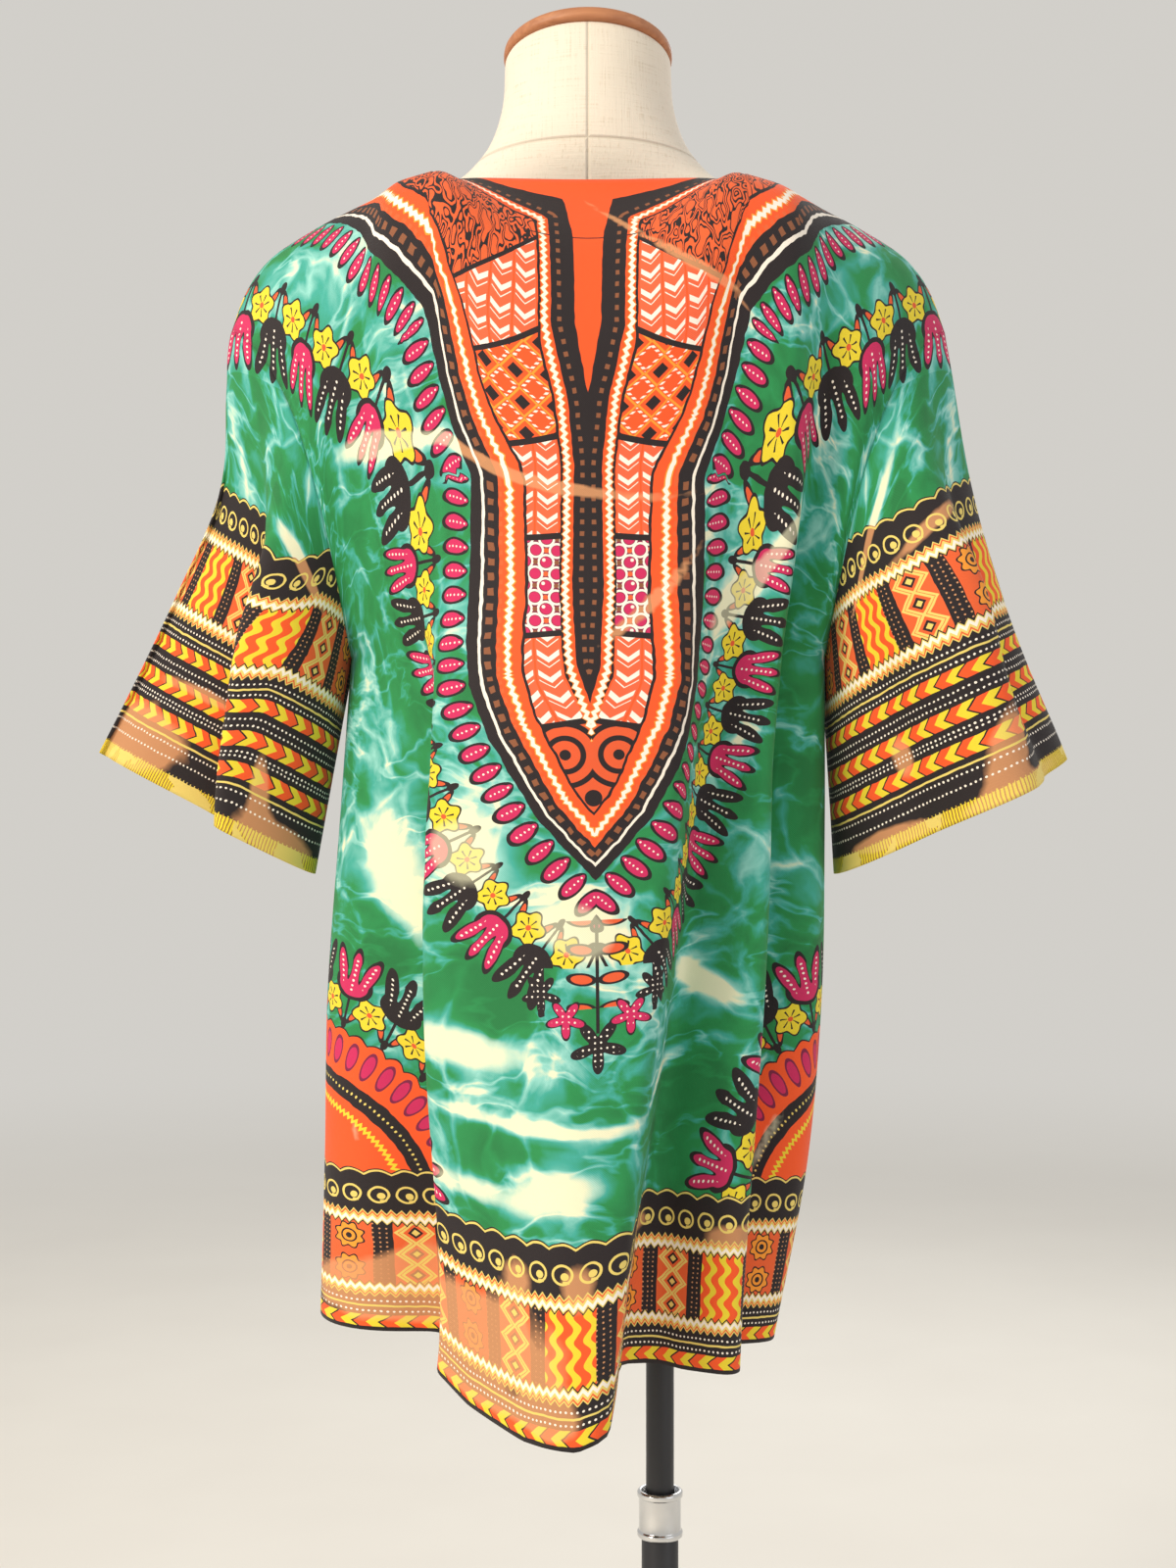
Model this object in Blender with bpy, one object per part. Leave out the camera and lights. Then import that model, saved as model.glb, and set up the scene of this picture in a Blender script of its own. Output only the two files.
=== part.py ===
# A dashiki shirt on a limbless linen dress form, on a telescopic stand.
# Metres, +Z up. z = 0 is the floor. The back of the shirt faces -Y, and +X is its right in the photo.

import math

import bmesh
import bpy
import numpy as np

# Driving sizes of the shirt
WALL = 0.0015
SEAM_GAP = 0.0003
SEAM_CATCH = 0.0012
PANEL_HALF = 0.285
YOKE_LENGTH = 0.32
NECK_HALF = 0.100
NECK_CORNER_HEIGHT = 1.3752
NECK_SHARE = 0.393
NECKLINE = {"back": {"depth": 0.068, "height": 1.362}, "front": {"depth": 0.066, "height": 1.338}}
SHOULDER_BLADE = 0.45
SHOULDER_ROUNDNESS = 1.8
SEAM_REACH = 0.3
SLIT_LENGTH = 0.13
SLIT_HALF_OPENING = 0.011
SLIT_EASE = 0.09
UNDERARM_HEIGHT = 1.055
HEM_HEIGHT = 0.597
SLEEVE_ROUND = 0.54
SLEEVE_DROP = math.radians(21)
SLEEVE_SAG = 0.010
SLEEVE_FULLNESS = 0.10
ARMHOLE_GAP_TOP = 0.0019
ARMHOLE_GAP_UNDER = 0.0026

# The grids: rows and columns of each sheet
YOKE_ROWS = 9
BODY_ROWS = 10
PANEL_COLUMNS = 34
SLEEVE_ROWS = 8
SLEEVE_COLUMNS = 36
DENSE = 48
EDGE_EASE = 0.08
DENSEST_LEVEL = 1.7
WIDEST_COLUMN = 0.030
WIDEST_TURN = math.radians(42)

# Driving sizes of the form and the stand
NECK_TILT = math.radians(13.0)
CAP_HEIGHT = 1.467
CAP_THICKNESS = 0.009
CAP_OVERHANG = 0.0015
FORM_OFFSET = -0.049
INNER_TUBE_RADIUS = 0.0095
OUTER_TUBE_RADIUS = 0.0125
TUBE_WALL = 0.0018
RUNNING_GAP = 0.0005
OUTER_TUBE_TOP = 0.480
COLLAR_BOTTOM = 0.458
COLLAR_TOP = 0.490
COLLAR_RADIUS = 0.0155
BASE_RADIUS = 0.15
BASE_EDGE = 0.005
BASE_DOME = 0.004
SOCKET_HEIGHT = 0.040
SOCKET_RADIUS = 0.019
SOCKET_FLANGE_RADIUS = 0.032
SOCKET_FLANGE_HEIGHT = 0.004
FORM_BOTTOM = 0.706
INNER_TUBE_BOTTOM = 0.13
INSERT_DEPTH = 0.12
KNOB_RADIUS = 0.011
KNOB_SHAFT_RADIUS = 0.0018
KNOB_LENGTH = 0.020
ROUND_SIDES = 24

# Outline of the shirt's shoulder from the neck corner to the armhole, seen from the front
SHOULDER_LINE = [
    {"half_width": 0.100, "height": 1.3752},
    {"half_width": 0.141, "height": 1.3655},
    {"half_width": 0.169, "height": 1.3540},
    {"half_width": 0.190, "height": 1.3430},
    {"half_width": 0.211, "height": 1.3300},
    {"half_width": 0.224, "height": 1.3170},
    {"half_width": 0.234, "height": 1.3000},
    {"half_width": 0.242, "height": 1.2770},
]

# Armhole seam from the shoulder down to the underarm, the same on front and back
ARMHOLE_LINE = [
    {"half_width": 0.242, "depth": 0.000, "height": 1.277},
    {"half_width": 0.232, "depth": 0.022, "height": 1.270},
    {"half_width": 0.212, "depth": 0.043, "height": 1.248},
    {"half_width": 0.193, "depth": 0.056, "height": 1.212},
    {"half_width": 0.178, "depth": 0.060, "height": 1.165},
    {"half_width": 0.167, "depth": 0.050, "height": 1.112},
    {"half_width": 0.161, "depth": 0.027, "height": 1.070},
    {"half_width": 0.160, "depth": 0.000, "height": 1.055},
]

# The body's ring from the underarm (level 1) to the hem (level 2), without its folds
BODY_RINGS = [
    {"level": 1.00, "middle": 0.000, "left": 0.160, "right": 0.160, "back": 0.110, "front": 0.116},
    {"level": 1.25, "middle": 0.004, "left": 0.168, "right": 0.160, "back": 0.108, "front": 0.116},
    {"level": 1.50, "middle": 0.006, "left": 0.176, "right": 0.158, "back": 0.106, "front": 0.116},
    {"level": 1.75, "middle": 0.006, "left": 0.178, "right": 0.148, "back": 0.102, "front": 0.116},
    {"level": 2.00, "middle": 0.006, "left": 0.181, "right": 0.126, "back": 0.098, "front": 0.116},
]
RING_POWER = 2.2

# Folds of the panels. Each is a stretch of cloth that turns by an angle and back again.
# The angle is given at the shoulder, at mid-body and at the hem, and "at" is measured across the cloth.
# "late" holds the fold back, so that it opens only near mid-body.
BACK_FOLDS = [
    {"at_top": -0.235, "at_hem": -0.232, "length": 0.040, "turn": 0.030, "top": 0, "mid": -6, "hem": -22},
    {"at_top": -0.160, "at_hem": -0.160, "length": 0.012, "turn": 0.016, "top": 34, "mid": 0, "hem": 0},
    {"at_top": -0.060, "at_hem": -0.157, "length": 0.020, "turn": 0.022, "top": 0, "mid": 96, "hem": 98, "late": 9},
    {"at_top": -0.080, "at_hem": -0.080, "length": 0.074, "turn": 0.050, "top": 0, "mid": 10, "hem": 48},
    {"at_top": 0.141, "at_hem": 0.032, "length": 0.040, "turn": 0.018, "top": 0, "mid": -64, "hem": -80, "late": 3},
    {"at_top": 0.135, "at_hem": 0.118, "length": 0.030, "turn": 0.030, "top": 0, "mid": 36, "hem": 50},
    {"at_top": 0.170, "at_hem": 0.172, "length": 0.022, "turn": 0.020, "top": -22, "mid": -66, "hem": -46},
    {"at_top": 0.215, "at_hem": 0.220, "length": 0.025, "turn": 0.025, "top": 3, "mid": 50, "hem": 34},
]
# place across the cloth, and how far the hem hangs above or below its level there
HEM_SWAY = {
    "back": [
        (-0.285, 0.017), (-0.200, 0.013), (-0.140, 0.001), (-0.100, -0.016), (-0.050, -0.028), (-0.012, -0.030),
        (0.030, -0.012), (0.060, 0.001), (0.110, -0.003), (0.160, -0.003), (0.285, 0.004),
    ],
    "front": [(-0.285, 0.017), (-0.150, 0.004), (0.000, -0.008), (0.150, -0.002), (0.285, 0.004)],
}
FRONT_FOLDS = [
    {"at_top": -0.200, "at_hem": -0.195, "length": 0.028, "turn": 0.026, "top": 0, "mid": 40, "hem": 60},
    {"at_top": -0.135, "at_hem": -0.130, "length": 0.030, "turn": 0.030, "top": 0, "mid": -42, "hem": -66},
    {"at_top": -0.065, "at_hem": -0.065, "length": 0.030, "turn": 0.032, "top": 0, "mid": 38, "hem": 66},
    {"at_top": -0.005, "at_hem": -0.002, "length": 0.030, "turn": 0.034, "top": 0, "mid": -36, "hem": -62},
    {"at_top": 0.065, "at_hem": 0.067, "length": 0.030, "turn": 0.034, "top": 0, "mid": 38, "hem": 62},
    {"at_top": 0.130, "at_hem": 0.132, "length": 0.030, "turn": 0.030, "top": 0, "mid": -42, "hem": -64},
]

# Cuffs: an open oval from its outer, upper end to its inner, lower end
CUFFS = {
    "left": {"outer_x": 0.355, "outer_z": 1.001, "inner_x": 0.186, "inner_z": 0.909, "half_depth": 0.046},
    "right": {"outer_x": 0.322, "outer_z": 0.987, "inner_x": 0.168, "inner_z": 0.909, "half_depth": 0.066},
}

# Folds of the sleeves, measured round the cloth from the top: negative is the back
SLEEVE_FOLDS = {
    "left": [
        {"at_top": -0.080, "at_hem": -0.160, "length": 0.032, "turn": 0.024, "top": -10, "mid": -118, "hem": -120},
        {"at_top": 0.110, "at_hem": 0.110, "length": 0.030, "turn": 0.030, "top": 0, "mid": 40, "hem": 50},
        {"at_top": 0.175, "at_hem": 0.175, "length": 0.030, "turn": 0.030, "top": 0, "mid": -40, "hem": -50},
    ],
    "right": [
        {"at_top": -0.060, "at_hem": -0.085, "length": 0.022, "turn": 0.022, "top": -10, "mid": -72, "hem": -50},
        {"at_top": -0.140, "at_hem": -0.150, "length": 0.030, "turn": 0.030, "top": 8, "mid": 44, "hem": 40},
        {"at_top": 0.110, "at_hem": 0.110, "length": 0.030, "turn": 0.030, "top": 0, "mid": 40, "hem": 50},
        {"at_top": 0.175, "at_hem": 0.175, "length": 0.030, "turn": 0.030, "top": 0, "mid": -40, "hem": -50},
    ],
}

# The form's outline: half width and depths to the back and to the front at each height
FORM_RINGS = [
    {"height": 0.7060, "half_width": 0.116, "back": 0.066, "front": 0.072},
    {"height": 0.7160, "half_width": 0.124, "back": 0.072, "front": 0.079},
    {"height": 0.7700, "half_width": 0.128, "back": 0.073, "front": 0.085},
    {"height": 0.8500, "half_width": 0.132, "back": 0.074, "front": 0.088},
    {"height": 0.9400, "half_width": 0.130, "back": 0.076, "front": 0.086},
    {"height": 1.0300, "half_width": 0.124, "back": 0.077, "front": 0.086},
    {"height": 1.1200, "half_width": 0.134, "back": 0.082, "front": 0.094},
    {"height": 1.1900, "half_width": 0.148, "back": 0.084, "front": 0.094},
    {"height": 1.2500, "half_width": 0.166, "back": 0.080, "front": 0.084},
    {"height": 1.2950, "half_width": 0.188, "back": 0.068, "front": 0.068},
    {"height": 1.3200, "half_width": 0.1990, "back": 0.056, "front": 0.054},
    {"height": 1.3305, "half_width": 0.1950, "back": 0.050, "front": 0.048},
    {"height": 1.3410, "half_width": 0.1850, "back": 0.046, "front": 0.045},
    {"height": 1.3535, "half_width": 0.1620, "back": 0.045, "front": 0.040},
    {"height": 1.3655, "half_width": 0.1240, "back": 0.046, "front": 0.038},
    {"height": 1.3750, "half_width": 0.0905, "back": 0.049, "front": 0.041},
    {"height": 1.3860, "half_width": 0.0790, "back": 0.0530, "front": 0.047},
    {"height": 1.4010, "half_width": 0.0660, "back": 0.0560, "front": 0.053},
    {"height": 1.4250, "half_width": 0.0585, "back": 0.0560, "front": 0.054},
]
NECK_HALF_WIDTH = 0.0565
FORM_COLUMNS = 32
FORM_POWER = 2.0

MATERIALS = {
    "back_panel": {"color": (0.02, 0.27, 0.11), "roughness": 0.85, "metallic": 0.0},
    "front_panel": {"color": (0.02, 0.27, 0.11), "roughness": 0.85, "metallic": 0.0},
    "sleeve_left": {"color": (0.55, 0.13, 0.03), "roughness": 0.85, "metallic": 0.0},
    "sleeve_right": {"color": (0.55, 0.13, 0.03), "roughness": 0.85, "metallic": 0.0},
    "form_torso": {"color": (0.80, 0.74, 0.63), "roughness": 0.9, "metallic": 0.0},
    "neck_cap": {"color": (0.42, 0.20, 0.10), "roughness": 0.45, "metallic": 0.0},
    "inner_tube": {"color": (0.02, 0.02, 0.025), "roughness": 0.4, "metallic": 0.0},
    "outer_tube": {"color": (0.02, 0.02, 0.025), "roughness": 0.4, "metallic": 0.0},
    "collar": {"color": (0.75, 0.75, 0.76), "roughness": 0.15, "metallic": 1.0},
    "clamp_knob": {"color": (0.02, 0.02, 0.02), "roughness": 0.5, "metallic": 0.0},
    "socket": {"color": (0.02, 0.02, 0.025), "roughness": 0.4, "metallic": 0.0},
    "base": {"color": (0.02, 0.02, 0.025), "roughness": 0.4, "metallic": 0.0},
}


def clear_scene():
    for item in list(bpy.data.objects):
        bpy.data.objects.remove(item, do_unlink=True)


def column(table, name):
    return np.array([row[name] for row in table], dtype=float)


def arc_lengths(points):
    steps = np.linalg.norm(np.diff(points, axis=0), axis=1)
    return np.concatenate([[0.0], np.cumsum(steps)])


def curve_through(points, count, closed=False):
    """A smooth curve through the points, sampled evenly along its length."""
    points = np.array(points, dtype=float)
    if closed:
        padded = np.vstack([points[-1], points, points[0], points[1]])
    else:
        first = 2 * points[0] - points[1]
        last = 2 * points[-1] - points[-2]
        padded = np.vstack([first, points, last])
    pieces = []
    for i in range(1, len(padded) - 2):
        before, start, end, after = padded[i - 1 : i + 3]
        for share in np.linspace(0, 1, 24, endpoint=False):
            tangent_start = (end - before) / 2
            tangent_end = (after - start) / 2
            square = share * share
            cube = square * share
            pieces.append(
                (2 * cube - 3 * square + 1) * start
                + (cube - 2 * square + share) * tangent_start
                + (3 * square - 2 * cube) * end
                + (cube - square) * tangent_end
            )
    pieces.append(padded[-2])
    return resample(np.array(pieces), np.linspace(0, 1, count))


def resample(points, shares):
    """Points at these shares of a polyline's length."""
    lengths = arc_lengths(points)
    wanted = np.asarray(shares) * lengths[-1]
    return np.stack([np.interp(wanted, lengths, points[:, axis]) for axis in range(points.shape[1])], axis=1)


def smooth(value):
    value = np.clip(value, 0.0, 1.0)
    return value * value * (3 - 2 * value)


def table_value(table, key, name, at):
    """A smooth value of one column, where another column is the key."""
    keys = column(table, key)
    values = column(table, name)
    slopes = np.gradient(values, keys)
    i = int(np.clip(np.searchsorted(keys, at) - 1, 0, len(keys) - 2))
    width = keys[i + 1] - keys[i]
    share = (at - keys[i]) / width
    square = share * share
    cube = square * share
    return (
        (2 * cube - 3 * square + 1) * values[i]
        + (cube - 2 * square + share) * width * slopes[i]
        + (3 * square - 2 * cube) * values[i + 1]
        + (cube - square) * width * slopes[i + 1]
    )


def ring_quarter(half_width, depth, shares):
    """From the middle of the back (x = 0, y = -depth) to the side seam, by share of its length."""
    angles = np.linspace(0, math.pi / 2, 90)
    x = half_width * np.sin(angles) ** (2 / RING_POWER)
    y = -depth * np.cos(angles) ** (2 / RING_POWER)
    return resample(np.stack([x, y], axis=1), shares)


def neck_edge(side, shares):
    """The neckline from its middle to the shoulder corner, as x, y and z."""
    middle = NECKLINE[side]
    angles = np.linspace(0, math.pi / 2, 60)
    x = NECK_HALF * np.sin(angles)
    y = -middle["depth"] * np.cos(angles)
    z = middle["height"] + (NECK_CORNER_HEIGHT - middle["height"]) * np.sin(angles) ** 2
    return resample(np.stack([x, y, z], axis=1), shares)


def top_edge(side, shares):
    """The neckline, then the shoulder seam, from the middle to the armhole."""
    shoulder = curve_through([(row["half_width"], 0.0, row["height"]) for row in SHOULDER_LINE], 120)
    points = np.zeros((len(shares), 3))
    on_neck = shares <= NECK_SHARE
    points[on_neck] = neck_edge(side, shares[on_neck] / NECK_SHARE)
    rest = (shares[~on_neck] - NECK_SHARE) / (1 - NECK_SHARE)
    points[~on_neck] = resample(shoulder, rest)
    return points


def armhole_edge(shares):
    """The seam on the back's right side, from the shoulder to the underarm."""
    half = [(row["half_width"], -row["depth"], row["height"]) for row in ARMHOLE_LINE]
    other = [(row["half_width"], row["depth"], row["height"]) for row in ARMHOLE_LINE[-2:0:-1]]
    ring = curve_through(half + other, 481, closed=True)
    lowest = int(np.argmin(ring[:, 2]))
    return resample(ring[: lowest + 1], shares)


def yoke_grid(side):
    """The panel's right half above the underarm: rows from the shoulder down, columns from the middle out."""
    shares = np.linspace(0, 1, DENSE + 1)
    fall = np.linspace(0, 1, DENSE + 1)
    top = top_edge(side, shares)
    ring = BODY_RINGS[0]
    bottom = np.zeros_like(top)
    bottom[:, :2] = ring_quarter(ring["right"], ring[side], shares)
    bottom[:, 2] = UNDERARM_HEIGHT
    seam = armhole_edge(fall)
    out = np.sin(math.pi / 2 * np.minimum(1, fall / SHOULDER_BLADE))[:, None]
    over_shoulder = smooth(shares / NECK_SHARE)[None, :]
    down = (1 - over_shoulder) * fall[:, None] + over_shoulder * fall[:, None] ** SHOULDER_ROUNDNESS
    grid = np.zeros((DENSE + 1, DENSE + 1, 3))
    grid[:, :, 0] = top[None, :, 0] + (bottom[None, :, 0] - top[None, :, 0]) * fall[:, None]
    grid[:, :, 1] = top[None, :, 1] + (bottom[None, :, 1] - top[None, :, 1]) * out
    grid[:, :, 2] = top[None, :, 2] + (bottom[None, :, 2] - top[None, :, 2]) * down
    reach = (np.clip((shares - SEAM_REACH) / (1 - SEAM_REACH), 0, 1) ** 2)[None, :, None]
    grid += reach * (seam[:, None, :] - grid[:, -1:, :])
    for i in range(DENSE + 1):
        grid[:, i] = resample(grid[:, i], fall)
    return grid


def body_grid(side, hand):
    """The panel's half below the underarm, on one hand, to the right of its middle."""
    shares = np.linspace(0, 1, DENSE + 1)
    levels = np.linspace(1, 2, DENSE + 1)
    grid = np.zeros((DENSE + 1, DENSE + 1, 3))
    for i, level in enumerate(levels):
        middle = table_value(BODY_RINGS, "level", "middle", level)
        reach = table_value(BODY_RINGS, "level", hand, level)
        depth = table_value(BODY_RINGS, "level", side, level)
        half_width = reach - middle if hand == "right" else reach + middle
        grid[i, :, :2] = ring_quarter(half_width, depth, shares)
        grid[i, :, 2] = UNDERARM_HEIGHT + (HEM_HEIGHT - UNDERARM_HEIGHT) * (level - 1)
    return grid


def base_rows(side):
    """The whole panel without folds, as the back: an array of rows and columns, and each column's share."""
    yoke = yoke_grid(side)
    halves = {}
    for hand in ("left", "right"):
        halves[hand] = np.vstack([yoke, body_grid(side, hand)[1:]])
    mirror = np.array([-1.0, 1.0, 1.0])
    rows = np.concatenate([halves["left"][:, :0:-1] * mirror, halves["right"]], axis=1)
    levels = np.linspace(0, 2, 2 * DENSE + 1)
    middles = np.array([table_value(BODY_RINGS, "level", "middle", max(1.0, level)) for level in levels])
    rows[:, :, 0] += middles[:, None]
    return rows


def fold_angle(fold, level):
    """The turn of the cloth in radians: at the shoulder, at mid-body and at the hem."""
    if level < 1.2:
        share = smooth((level - 0.1) / 1.1) ** fold.get("late", 1)
        angle = fold["top"] + (fold["mid"] - fold["top"]) * share
    else:
        share = smooth((level - 1.2) / 0.8)
        angle = fold["mid"] + (fold["hem"] - fold["mid"]) * share
    return math.radians(angle * smooth(level / 0.25))


def fold_path(folds, level, half):
    """Positions across the cloth, how far each runs along the base and out from it, and the cloth's turn."""
    across = np.linspace(-half, half, 1201)
    turning = np.zeros_like(across)
    for fold in folds:
        at = fold["at_top"] + (fold["at_hem"] - fold["at_top"]) * level / 2
        reach = (fold["length"] + fold["turn"]) / 2
        turning += fold_angle(fold, level) * smooth((reach - np.abs(across - at)) / fold["turn"] + 0.5)
    step = across[1] - across[0]
    along = np.cumsum(np.cos(turning)) * step
    along -= along[len(across) // 2]
    out = np.cumsum(np.sin(turning)) * step
    out -= out[0] + (out[-1] - out[0]) * smooth((across + half) / (2 * half))
    return across, along, out * smooth((half - np.abs(across)) / EDGE_EASE), turning


def fit_to(along, left_length, right_length):
    """Eases the cloth near the seams, so that it ends on them."""
    right = along - (along[-1] - right_length) * (np.maximum(along, 0) / along[-1]) ** 3
    left = along - (along[0] + left_length) * (np.maximum(-along, 0) / -along[0]) ** 3
    return np.where(along >= 0, right, left)


def slit_side(positions):
    """-1 or 1 for each position. Of two columns at the middle, the first is the slit's left edge."""
    side = np.sign(positions)
    middle = np.flatnonzero(side == 0)
    side[middle[0]] = -1
    side[middle[-1]] = 1
    return side


def between_rows(rows, at):
    """The row at this fractional index, and the rows just before and after it."""
    low = int(min(math.floor(at), len(rows) - 2))
    row = rows[low] + (rows[low + 1] - rows[low]) * (at - low)
    return row, rows[max(low - 1, 0)], rows[min(low + 2, len(rows) - 1)]


def cloth_row(base, folds, level, positions, opening=0.0):
    """Points of a folded panel at one level, at these positions across it."""
    row, above, below = between_rows(base, level * DENSE)
    lengths = arc_lengths(row)
    lengths -= lengths[len(row) // 2]
    across, along, out, _ = fold_path(folds, level, PANEL_HALF)
    where = np.interp(positions, across, fit_to(along, -lengths[0], lengths[-1]))
    if opening > 0:
        where += slit_side(positions) * opening * np.clip(1 - np.abs(positions) / SLIT_EASE, 0, 1) ** 2
    normals = np.cross(np.gradient(row, axis=0), above - below)
    normals /= np.maximum(np.linalg.norm(normals, axis=1, keepdims=True), 1e-12)
    amount = np.interp(positions, across, out)
    columns = [
        np.interp(where, lengths, row[:, axis]) + amount * np.interp(where, lengths, normals[:, axis])
        for axis in range(3)
    ]
    return np.stack(columns, axis=1)


def spread_columns(folds, half, count):
    """Positions across the cloth, closer together where it turns, with one at the middle."""
    across, _, _, turning = fold_path(folds, DENSEST_LEVEL, half)
    need = 1 / WIDEST_COLUMN + np.abs(np.gradient(turning, across)) / WIDEST_TURN
    total = np.concatenate([[0.0], np.cumsum((need[1:] + need[:-1]) / 2)])
    positions = np.interp(np.linspace(0, total[-1], count + 1), total, across)
    positions[np.argmin(np.abs(positions))] = 0.0
    return positions


def panel_levels(slit):
    """Rows of a panel: 0 is its top edge, 1 the underarm and 2 the hem. One row ends the slit."""
    levels = list(np.linspace(0, 1, YOKE_ROWS + 1) ** 1.25) + list(np.linspace(1, 2, BODY_ROWS + 1)[1:])
    if slit:
        levels[int(np.argmin(np.abs(np.array(levels) - slit)))] = slit
    return levels


def panel_sheet(side):
    """A panel's middle surface: its points, its faces and which points lie on a shoulder or side seam."""
    folds = BACK_FOLDS if side == "back" else FRONT_FOLDS
    slit = SLIT_LENGTH / YOKE_LENGTH if side == "front" else 0.0
    base = base_rows(side)
    positions = spread_columns(folds, PANEL_HALF, PANEL_COLUMNS)
    middle = int(np.flatnonzero(positions == 0)[0])
    if slit:
        positions = np.insert(positions, middle, 0.0)
    levels = panel_levels(slit)
    points = []
    index = []
    for level in levels:
        opening = SLIT_HALF_OPENING * max(0.0, 1 - level / slit) if slit else 0.0
        row = cloth_row(base, folds, level, positions, opening)
        row[:, 2] += np.interp(positions, *np.array(HEM_SWAY[side]).T) * max(0.0, level - 1) ** 2
        ids = list(range(len(points), len(points) + len(row)))
        points.extend(row)
        index.append(ids)
    points = np.array(points)
    on_seam = np.abs(points[:, 1]) < SEAM_CATCH
    points[on_seam, 1] = -SEAM_GAP / 2
    faces = []
    for upper, lower in zip(index, index[1:]):
        for i in range(len(upper) - 1):
            if slit and i == middle:
                continue
            if i < middle:
                faces.append((upper[i], lower[i], lower[i + 1], upper[i + 1]))
            else:
                faces.append((lower[i], lower[i + 1], upper[i + 1], upper[i]))
    if slit:
        joined = {ids[middle + 1]: ids[middle] for ids, level in zip(index, levels) if level >= slit}
        faces = [tuple(joined.get(vertex, vertex) for vertex in face) for face in faces]
        points[:, 1] *= -1
        faces = [(a, d, c, b) for a, b, c, d in faces]
    used = sorted({vertex for face in faces for vertex in face})
    place = {vertex: i for i, vertex in enumerate(used)}
    faces = [tuple(place[vertex] for vertex in face) for face in faces]
    return points[used], faces, on_seam[used]


def sleeve_rings(hand):
    """The sleeve without folds, as the right one: rings from the armhole to the cuff, from the top round the back."""
    cuff = CUFFS[hand]
    half = armhole_edge(np.linspace(0, 1, DENSE + 1))
    front = half[-2::-1] * np.array([1.0, -1.0, 1.0])
    first = np.vstack([half, front])
    centre = np.array([(cuff["outer_x"] + cuff["inner_x"]) / 2, 0.0, (cuff["outer_z"] + cuff["inner_z"]) / 2])
    major = np.array([(cuff["outer_x"] - cuff["inner_x"]) / 2, 0.0, (cuff["outer_z"] - cuff["inner_z"]) / 2])
    angles = np.linspace(0, 2 * math.pi, 361)
    oval = centre + np.outer(np.cos(angles), major) + np.outer(-np.sin(angles), [0.0, cuff["half_depth"], 0.0])
    last = resample(oval, np.linspace(0, 1, 2 * DENSE + 1))
    rows = []
    outward = np.array([math.cos(SLEEVE_DROP), 0.0, -math.sin(SLEEVE_DROP)])
    around = np.linspace(0, 1, 2 * DENSE + 1)
    under = np.sin(math.pi * around)
    gap = (ARMHOLE_GAP_TOP + (ARMHOLE_GAP_UNDER - ARMHOLE_GAP_TOP) * under**2)[:, None] * outward
    for share in np.linspace(0, 1, DENSE + 1):
        ring = (first + gap) * (1 - share) + last * share
        ring[:, 0] -= SLEEVE_SAG * math.sin(math.pi * share) * np.cos(math.pi * around) ** 2
        ring[:, 1] *= 1 + SLEEVE_FULLNESS * math.sin(math.pi * min(1.0, share * 1.4))
        rows.append(ring)
    return np.array(rows)


def sleeve_sheet(hand):
    """Points and faces of a sleeve's middle surface. The left one is made as a right one and mirrored."""
    half = SLEEVE_ROUND / 2
    folds = SLEEVE_FOLDS[hand]
    rings = sleeve_rings(hand)
    positions = spread_columns(folds, half, SLEEVE_COLUMNS)
    points = []
    for level in np.linspace(0, 1, SLEEVE_ROWS + 1):
        points.append(sleeve_row(rings, folds, level, positions))
    count = len(positions) - 1
    points = np.array(points)[:, :count].reshape(-1, 3)
    faces = []
    for row in range(SLEEVE_ROWS):
        for i in range(count):
            after = (i + 1) % count
            upper = row * count
            lower = upper + count
            faces.append((upper + i, lower + i, lower + after, upper + after))
    if hand == "left":
        points[:, 0] *= -1
        faces = [face[::-1] for face in faces]
    return points, faces


def sleeve_row(rings, folds, level, positions):
    """One ring of the folded sleeve. Positions run round the cloth from the underarm, 0 being the top."""
    ring, _, _ = between_rows(rings, level * DENSE)
    across, along, out, _ = fold_path(folds, level * 2, SLEEVE_ROUND / 2)
    where = np.interp(positions, across, (along - along[0]) / (along[-1] - along[0]))
    lengths = arc_lengths(ring)
    turned = (1.5 - where) % 1.0 * lengths[-1]
    tangents = np.gradient(ring, axis=0)
    tangents[0] = tangents[-1] = ring[1] - ring[-2]
    normals = np.cross(tangents, rings[-1] - rings[0])
    normals /= np.linalg.norm(normals, axis=1, keepdims=True)
    amount = np.interp(positions, across, out)
    columns = [
        np.interp(turned, lengths, ring[:, axis]) + amount * np.interp(turned, lengths, normals[:, axis])
        for axis in range(3)
    ]
    return np.stack(columns, axis=1)


def sheet_normals(points, faces):
    normals = np.zeros_like(points)
    for face in faces:
        corners = points[list(face)]
        normal = np.cross(corners[2] - corners[0], corners[-1] - corners[1])
        if len(face) == 3:
            normal = np.cross(corners[1] - corners[0], corners[2] - corners[0])
        for vertex in face:
            normals[vertex] += normal
    return normals / np.linalg.norm(normals, axis=1, keepdims=True)


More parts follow.
